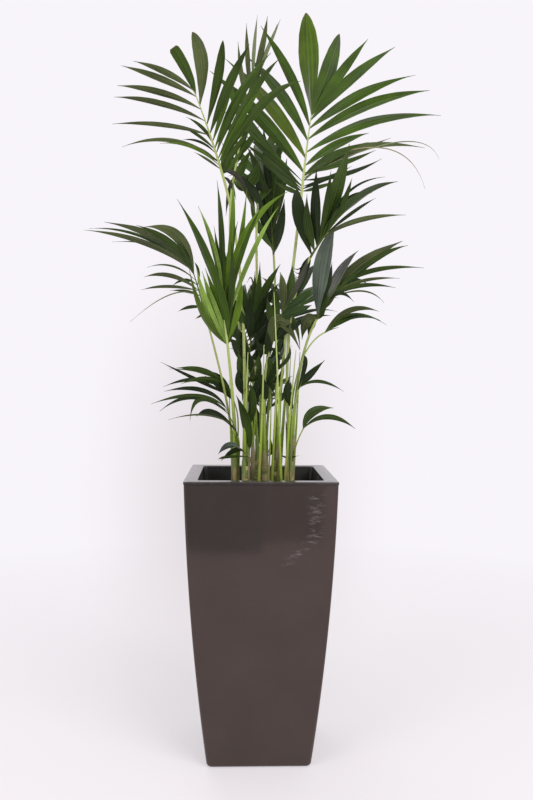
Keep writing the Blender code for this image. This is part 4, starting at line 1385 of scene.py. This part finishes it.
def leaf_material(shade):
    """A green blade: fine veins along it, cloudy shade, paler midrib and foot, margins paled as a
    painted highlight, a dry tip.
    """
    blade, midrib = LEAF_SHADES[shade]
    nodes = Nodes(f"leaf_{shade}", blade, 0.45)
    pattern = nodes.where("UV")
    across, along, _ = nodes.split(pattern)
    cloud = nodes.noise(nodes.where("Object"), 9.0, 3)
    vein = nodes.noise(nodes.stretched(pattern, (26.0, 0.7, 1.0)), 1.0, 2, 0.5)
    off_centre = nodes.math("ABSOLUTE", nodes.math("SUBTRACT", across, 0.5))
    ragged = nodes.math("ADD", along, nodes.math("MULTIPLY", cloud, 0.02))
    nodes.layers(
        scaled(blade, 0.62),
        (cloud, (0.36, 0.64), scaled(blade, 1.42)),
        (vein, (0.44, 0.62, 0.0, 0.6), scaled(blade, 1.8)),
        (vein, (0.34, 0.46, 0.5, 0.0), scaled(blade, 0.5)),
        (off_centre, (0.010, 0.030, 0.6, 0.0), midrib),
        # painted highlight: the margins are paled towards the midrib's colour
        (off_centre, (0.44, 0.50, 0.0, 0.6), midrib),
        (along, (0.0, 0.14, 0.85, 0.0), midrib),
        (ragged, (0.985, 1.0, 0.0, 0.85), DRY_TIP),
    )
    nodes.rough(nodes.fade(cloud, 0.3, 0.7, 0.34, 0.50))
    nodes.bump(vein, 0.5, 0.0010)
    nodes.specular(0.15)
    return nodes.material


def stalk_material(name, low, high):
    """A stalk: yellow-green and finely lined, paler higher up, partly as a painted highlight, and
    browner and paler towards its foot.
    """
    nodes = Nodes(name, high, 0.42)
    pattern = nodes.where("UV")
    place = nodes.where("Object")
    _, _, height = nodes.split(place)
    lines = nodes.noise(nodes.stretched(pattern, (26.0, 5.0, 1.0)), 1.0, 3)
    flecks = nodes.noise(place, 70.0, 2)
    wood = nodes.noise(nodes.stretched(place, (60.0, 60.0, 22.0)), 1.0, 3)
    foot = nodes.fade(height, *AGED_BELOW, 1.0, 0.0)
    aged = nodes.math("MULTIPLY", nodes.fade(wood, 0.42, 0.60), foot)
    nodes.layers(
        low,
        # paler higher up: partly the stalk's own colour, partly painted highlight
        (height, GREEN_ABOVE, high),
        (lines, (0.46, 0.68, 0.0, 0.5), scaled(high, 0.5)),
        (flecks, (0.62, 0.72, 0.0, 0.5), STALK_FLECKS),
        (aged, (), STALK_AGED),
        # darker towards the soil, around and below the rim's height
        (height, (*DARK_BELOW, 0.40, 0.0), STALK_DARKER_LOW),
    )
    nodes.rough(nodes.fade(lines, 0.3, 0.7, 0.34, 0.52))
    nodes.bump(lines, 0.4, 0.0008)
    nodes.specular(0.12)
    return nodes.material


def stem_material():
    """A cane: olive green between straw and brown ring scars."""
    nodes = Nodes("stem", (0.14, 0.15, 0.05), 0.6)
    place = nodes.where("Object")
    rings = nodes.noise(nodes.stretched(place, (9.0, 9.0, 60.0)), 1.0, 3)
    grain = nodes.noise(nodes.stretched(place, (260.0, 260.0, 18.0)), 1.0, 3)
    nodes.layers(nodes.ramp(rings, STEM_COLOURS), (grain, (0.45, 0.7, 0.0, 0.6), STEM_GRAIN))
    nodes.bump(grain, 0.6, 0.0010)
    return nodes.material


def sheath_material(name, low, high):
    """A leaf's foot: fibrous, straw-coloured or brown below and turning to the stalk's green."""
    nodes = Nodes(name, high, 0.6)
    pattern = nodes.where("UV")
    place = nodes.where("Object")
    _, along, _ = nodes.split(pattern)
    fibres = nodes.noise(nodes.stretched(pattern, (44.0, 3.0, 1.0)), 1.0, 4)
    patch = nodes.noise(place, 60.0, 3)
    ripe = nodes.math("ADD", along, nodes.math("MULTIPLY", patch, 0.9))
    nodes.layers(
        low,
        (ripe, (0.62, 0.95), high),
        (fibres, (0.48, 0.68, 0.0, 0.7), SHEATH_FIBRES),
    )
    nodes.bump(fibres, 0.6, 0.0010)
    return nodes.material


def planter_material():
    """Dark taupe lacquer with a fine metallic fleck, and marks of handling on its front."""
    base = SHELL_COLOUR
    nodes = Nodes("planter", base, 0.08)
    place = nodes.where("Object")
    x, y, z = nodes.split(place)
    cloud = nodes.noise(place, 7.0, 3)
    fleck = nodes.noise(place, 900.0, 1)
    strokes = nodes.noise(nodes.stretched(place, (34.0, 1.0, 120.0), (0, 0.5, 0)), 1.0, 5, 0.7)
    front = nodes.fade(y, *SCUFF_FRONT, 1.0, 0.0)
    off_trail = nodes.math("ABSOLUTE", nodes.math("SUBTRACT", x, nodes.fade(z, *SCUFF_TRAIL)))
    near = nodes.fade(off_trail, *SCUFF_WIDTH, 1.0, 0.0)
    up = nodes.math("MULTIPLY", nodes.fade(z, *SCUFF_START), nodes.fade(z, *SCUFF_END))
    zone = nodes.math("MULTIPLY", nodes.math("MULTIPLY", front, near), up)
    scuff = nodes.math("MULTIPLY", zone, nodes.fade(strokes, 0.50, 0.68, 0.0, 0.45))
    nodes.layers(
        scaled(base, 0.92),
        (cloud, (0.3, 0.7), scaled(base, 1.10)),
        (fleck, (0.60, 0.75, 0.0, 0.25), scaled(base, 2.1)),
        (scuff, (), SCUFF_COLOUR),
    )
    smear = nodes.fade(nodes.noise(place, 16.0, 4, 0.6), 0.3, 0.7, 0.07, 0.12)
    nodes.rough(nodes.math("ADD", smear, nodes.math("MULTIPLY", scuff, 0.35)))
    nodes.bump(nodes.noise(place, 160.0, 2), 0.05, 0.0006)
    nodes.specular(0.42)
    nodes.shader.inputs["Specular Tint"].default_value = (*SHELL_TINT, 1)
    return nodes.material


def liner_material():
    """The same lacquer, dusty on the rim, dull inside, and darkened inside as painted shade."""
    nodes = Nodes("liner", LINER_COLOUR, 0.14)
    place = nodes.where("Object")
    dust = nodes.noise(place, 45.0, 4, 0.65)
    _, _, height = nodes.split(place)
    nodes.layers(
        LINER_COLOUR,
        (dust, (0.45, 0.75, 0.0, 0.35), LINER_DUST),
        # painted shade: the inside, below the rim, is darkened
        (height, (*LINER_SHADE_BELOW, 1.0, 0.0), LINER_INSIDE_SHADE),
    )
    dull = nodes.fade(height, *LINER_DULL_BELOW, 0.22, 0.0)
    nodes.rough(nodes.math("ADD", nodes.fade(dust, 0.3, 0.7, 0.12, 0.20), dull))
    nodes.bump(nodes.noise(place, 220.0, 2), 0.08, 0.0006)
    return nodes.material


def soil_material(name, dark, pale, scale):
    """Dull and grainy, between a dark colour and a pale one."""
    nodes = Nodes(name, dark, 0.95)
    grain = nodes.noise(nodes.where("Object"), scale, 6, 0.7)
    nodes.layers(dark, (grain, (0.4, 0.7), pale))
    nodes.bump(grain, 0.9, 0.002)
    return nodes.material


def make_materials():
    materials = {shade: leaf_material(shade) for shade in LEAF_SHADES}
    for name, (low, high) in STALK_SHADES.items():
        materials[name] = stalk_material(name, low, high)
    for name, (low, high) in SHEATH_SHADES.items():
        materials[name] = sheath_material(name, low, high)
    for name, (dark, pale, grain) in SOIL_SHADES.items():
        materials[name] = soil_material(name, dark, pale, grain)
    materials["stem"] = stem_material()
    materials["planter"] = planter_material()
    materials["liner"] = liner_material()
    return materials


def soft_shade(nodes):
    """The planter's soft shade on what lies behind it, strongest by the stalks' left."""
    x, y, z = nodes.split(nodes.where("Object"))
    eye = Vector(CAMERA_PLACE)
    middle = seen_at(*SHADE_PLACE, Vector((0, FLOOR_REACH, 0)), (0, 0)) - eye
    away = nodes.math("SUBTRACT", y, eye.y)
    squares = []
    for value, start, aim, reach in zip((x, z), (eye.x, eye.z), (middle.x, middle.z), SHADE_REACH):
        slope = nodes.math("DIVIDE", nodes.math("SUBTRACT", value, start), away)
        offset = nodes.math("SUBTRACT", slope, aim / middle.y)
        squares.append(nodes.math("POWER", nodes.math("MULTIPLY", offset, FOCAL_PIXELS / reach), 2.0))
    distance = nodes.math("SQRT", nodes.math("ADD", *squares))
    strength = nodes.fade(distance, 0.0, 1.0, SHADE_STRENGTH, 0.0, "SMOOTHSTEP")
    return nodes.math("MULTIPLY", strength, nodes.fade(y, *SHADE_BEHIND))


def stage_shape(name, make_shape, **sizes):
    """One of bmesh's own shapes as an object."""
    mesh = bpy.data.meshes.new(name)
    shape = bmesh.new()
    make_shape(shape, **sizes)
    shape.to_mesh(mesh)
    shape.free()
    return placed(name, mesh)


def make_floor():
    """A pale floor that fades into the backdrop's own shade away from the planter."""
    circle = {"cap_ends": True, "segments": 96, "radius": FLOOR_REACH}
    floor = stage_shape("floor", bmesh.ops.create_circle, **circle)
    floor.location.z = -FLOOR_DROP
    nodes = Nodes("floor", FLOOR_WHITE, 0.7)
    away = nodes.make("ShaderNodeVectorMath")
    away.operation = "LENGTH"
    nodes.set(away.inputs[0], nodes.where("Object"))
    share = nodes.fade(away.outputs["Value"], FLOOR_NEAR, FLOOR_FAR, FLOOR_GLOW, 1.0)
    colour = nodes.mix(soft_shade(nodes), BACKDROP, SHADE_COLOUR)
    mix = nodes.make("ShaderNodeMixShader", Fac=share)
    nodes.set(mix.inputs[1], nodes.shader.outputs["BSDF"])
    nodes.set(mix.inputs[2], nodes.glow(colour))
    nodes.show(mix.outputs["Shader"])
    floor.data.materials.append(nodes.material)


def make_cards():
    """Dark cards in front that show only in the planter's gloss."""
    for number, (left, right, place, glow) in enumerate(CARDS):
        name = f"dark_card_{number}"
        outline = ((left, 0), (right, 0), (right, CARD_TOP), (left, CARD_TOP))
        mesh = bpy.data.meshes.new(name)
        mesh.from_pydata([(x, place, z) for x, z in outline], [], [(0, 1, 2, 3)])
        card = placed(name, mesh)
        nodes = Nodes(name, (0.0, 0.0, 0.0), 1.0)
        nodes.shader.inputs["Emission Color"].default_value = (*glow, 1)
        nodes.shader.inputs["Emission Strength"].default_value = 1.0
        mesh.materials.append(nodes.material)
        card.visible_camera = False
        card.visible_diffuse = False
        card.visible_shadow = False
        card.visible_transmission = False


def make_backdrop():
    """A wide pale shell all round, seen and reflected but giving no light of its own."""
    ball = {"subdivisions": 4, "radius": FLOOR_REACH + BACKDROP_BEYOND}
    shell = stage_shape("backdrop", bmesh.ops.create_icosphere, **ball)
    nodes = Nodes("backdrop", BACKDROP, 1.0)
    nodes.show(nodes.glow(nodes.mix(soft_shade(nodes), BACKDROP, SHADE_COLOUR)))
    shell.data.materials.append(nodes.material)
    shell.visible_diffuse = False
    shell.visible_shadow = False


def make_lights():
    """Soft boxes that look at the plant's middle line."""
    for name, place, aim, size, power, colour in LIGHTS:
        data = bpy.data.lights.new(name, "AREA")
        data.shape = "RECTANGLE"
        data.size, data.size_y = size
        data.energy = power
        data.color = colour
        light = placed(name, data)
        light.location = place
        light.rotation_mode = "QUATERNION"
        light.rotation_quaternion = (UP * aim - light.location).to_track_quat("-Z", "Y")


def make_world():
    world = bpy.data.worlds.new("studio")
    bpy.context.scene.world = world
    world.use_nodes = True
    background = world.node_tree.nodes["Background"]
    background.inputs["Color"].default_value = (*WORLD_COLOUR, 1)
    background.inputs["Strength"].default_value = WORLD_STRENGTH


def make_camera():
    data = bpy.data.cameras.new("camera")
    data.lens = CAMERA_LENS
    data.sensor_fit = "AUTO"
    data.sensor_width = CAMERA_SENSOR
    camera = placed("camera", data)
    turn = Matrix(camera_turn()).transposed().to_4x4()
    camera.matrix_world = Matrix.Translation(CAMERA_PLACE) @ turn
    bpy.context.scene.camera = camera


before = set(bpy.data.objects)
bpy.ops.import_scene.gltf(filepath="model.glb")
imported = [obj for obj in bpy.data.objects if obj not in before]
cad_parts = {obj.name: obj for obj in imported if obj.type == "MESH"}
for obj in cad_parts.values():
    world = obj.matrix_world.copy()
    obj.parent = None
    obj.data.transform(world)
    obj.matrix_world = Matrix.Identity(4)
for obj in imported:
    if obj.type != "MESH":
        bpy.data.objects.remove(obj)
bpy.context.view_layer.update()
make_camera()
make_world()
make_lights()
make_floor()
make_backdrop()
make_cards()
shades = make_materials()
make_planter(shades)
make_liner(shades)
make_soil(shades)
make_stems(shades)
make_plant(shades)
bpy.context.scene.view_settings.view_transform = "Standard"
bpy.context.view_layer.update()
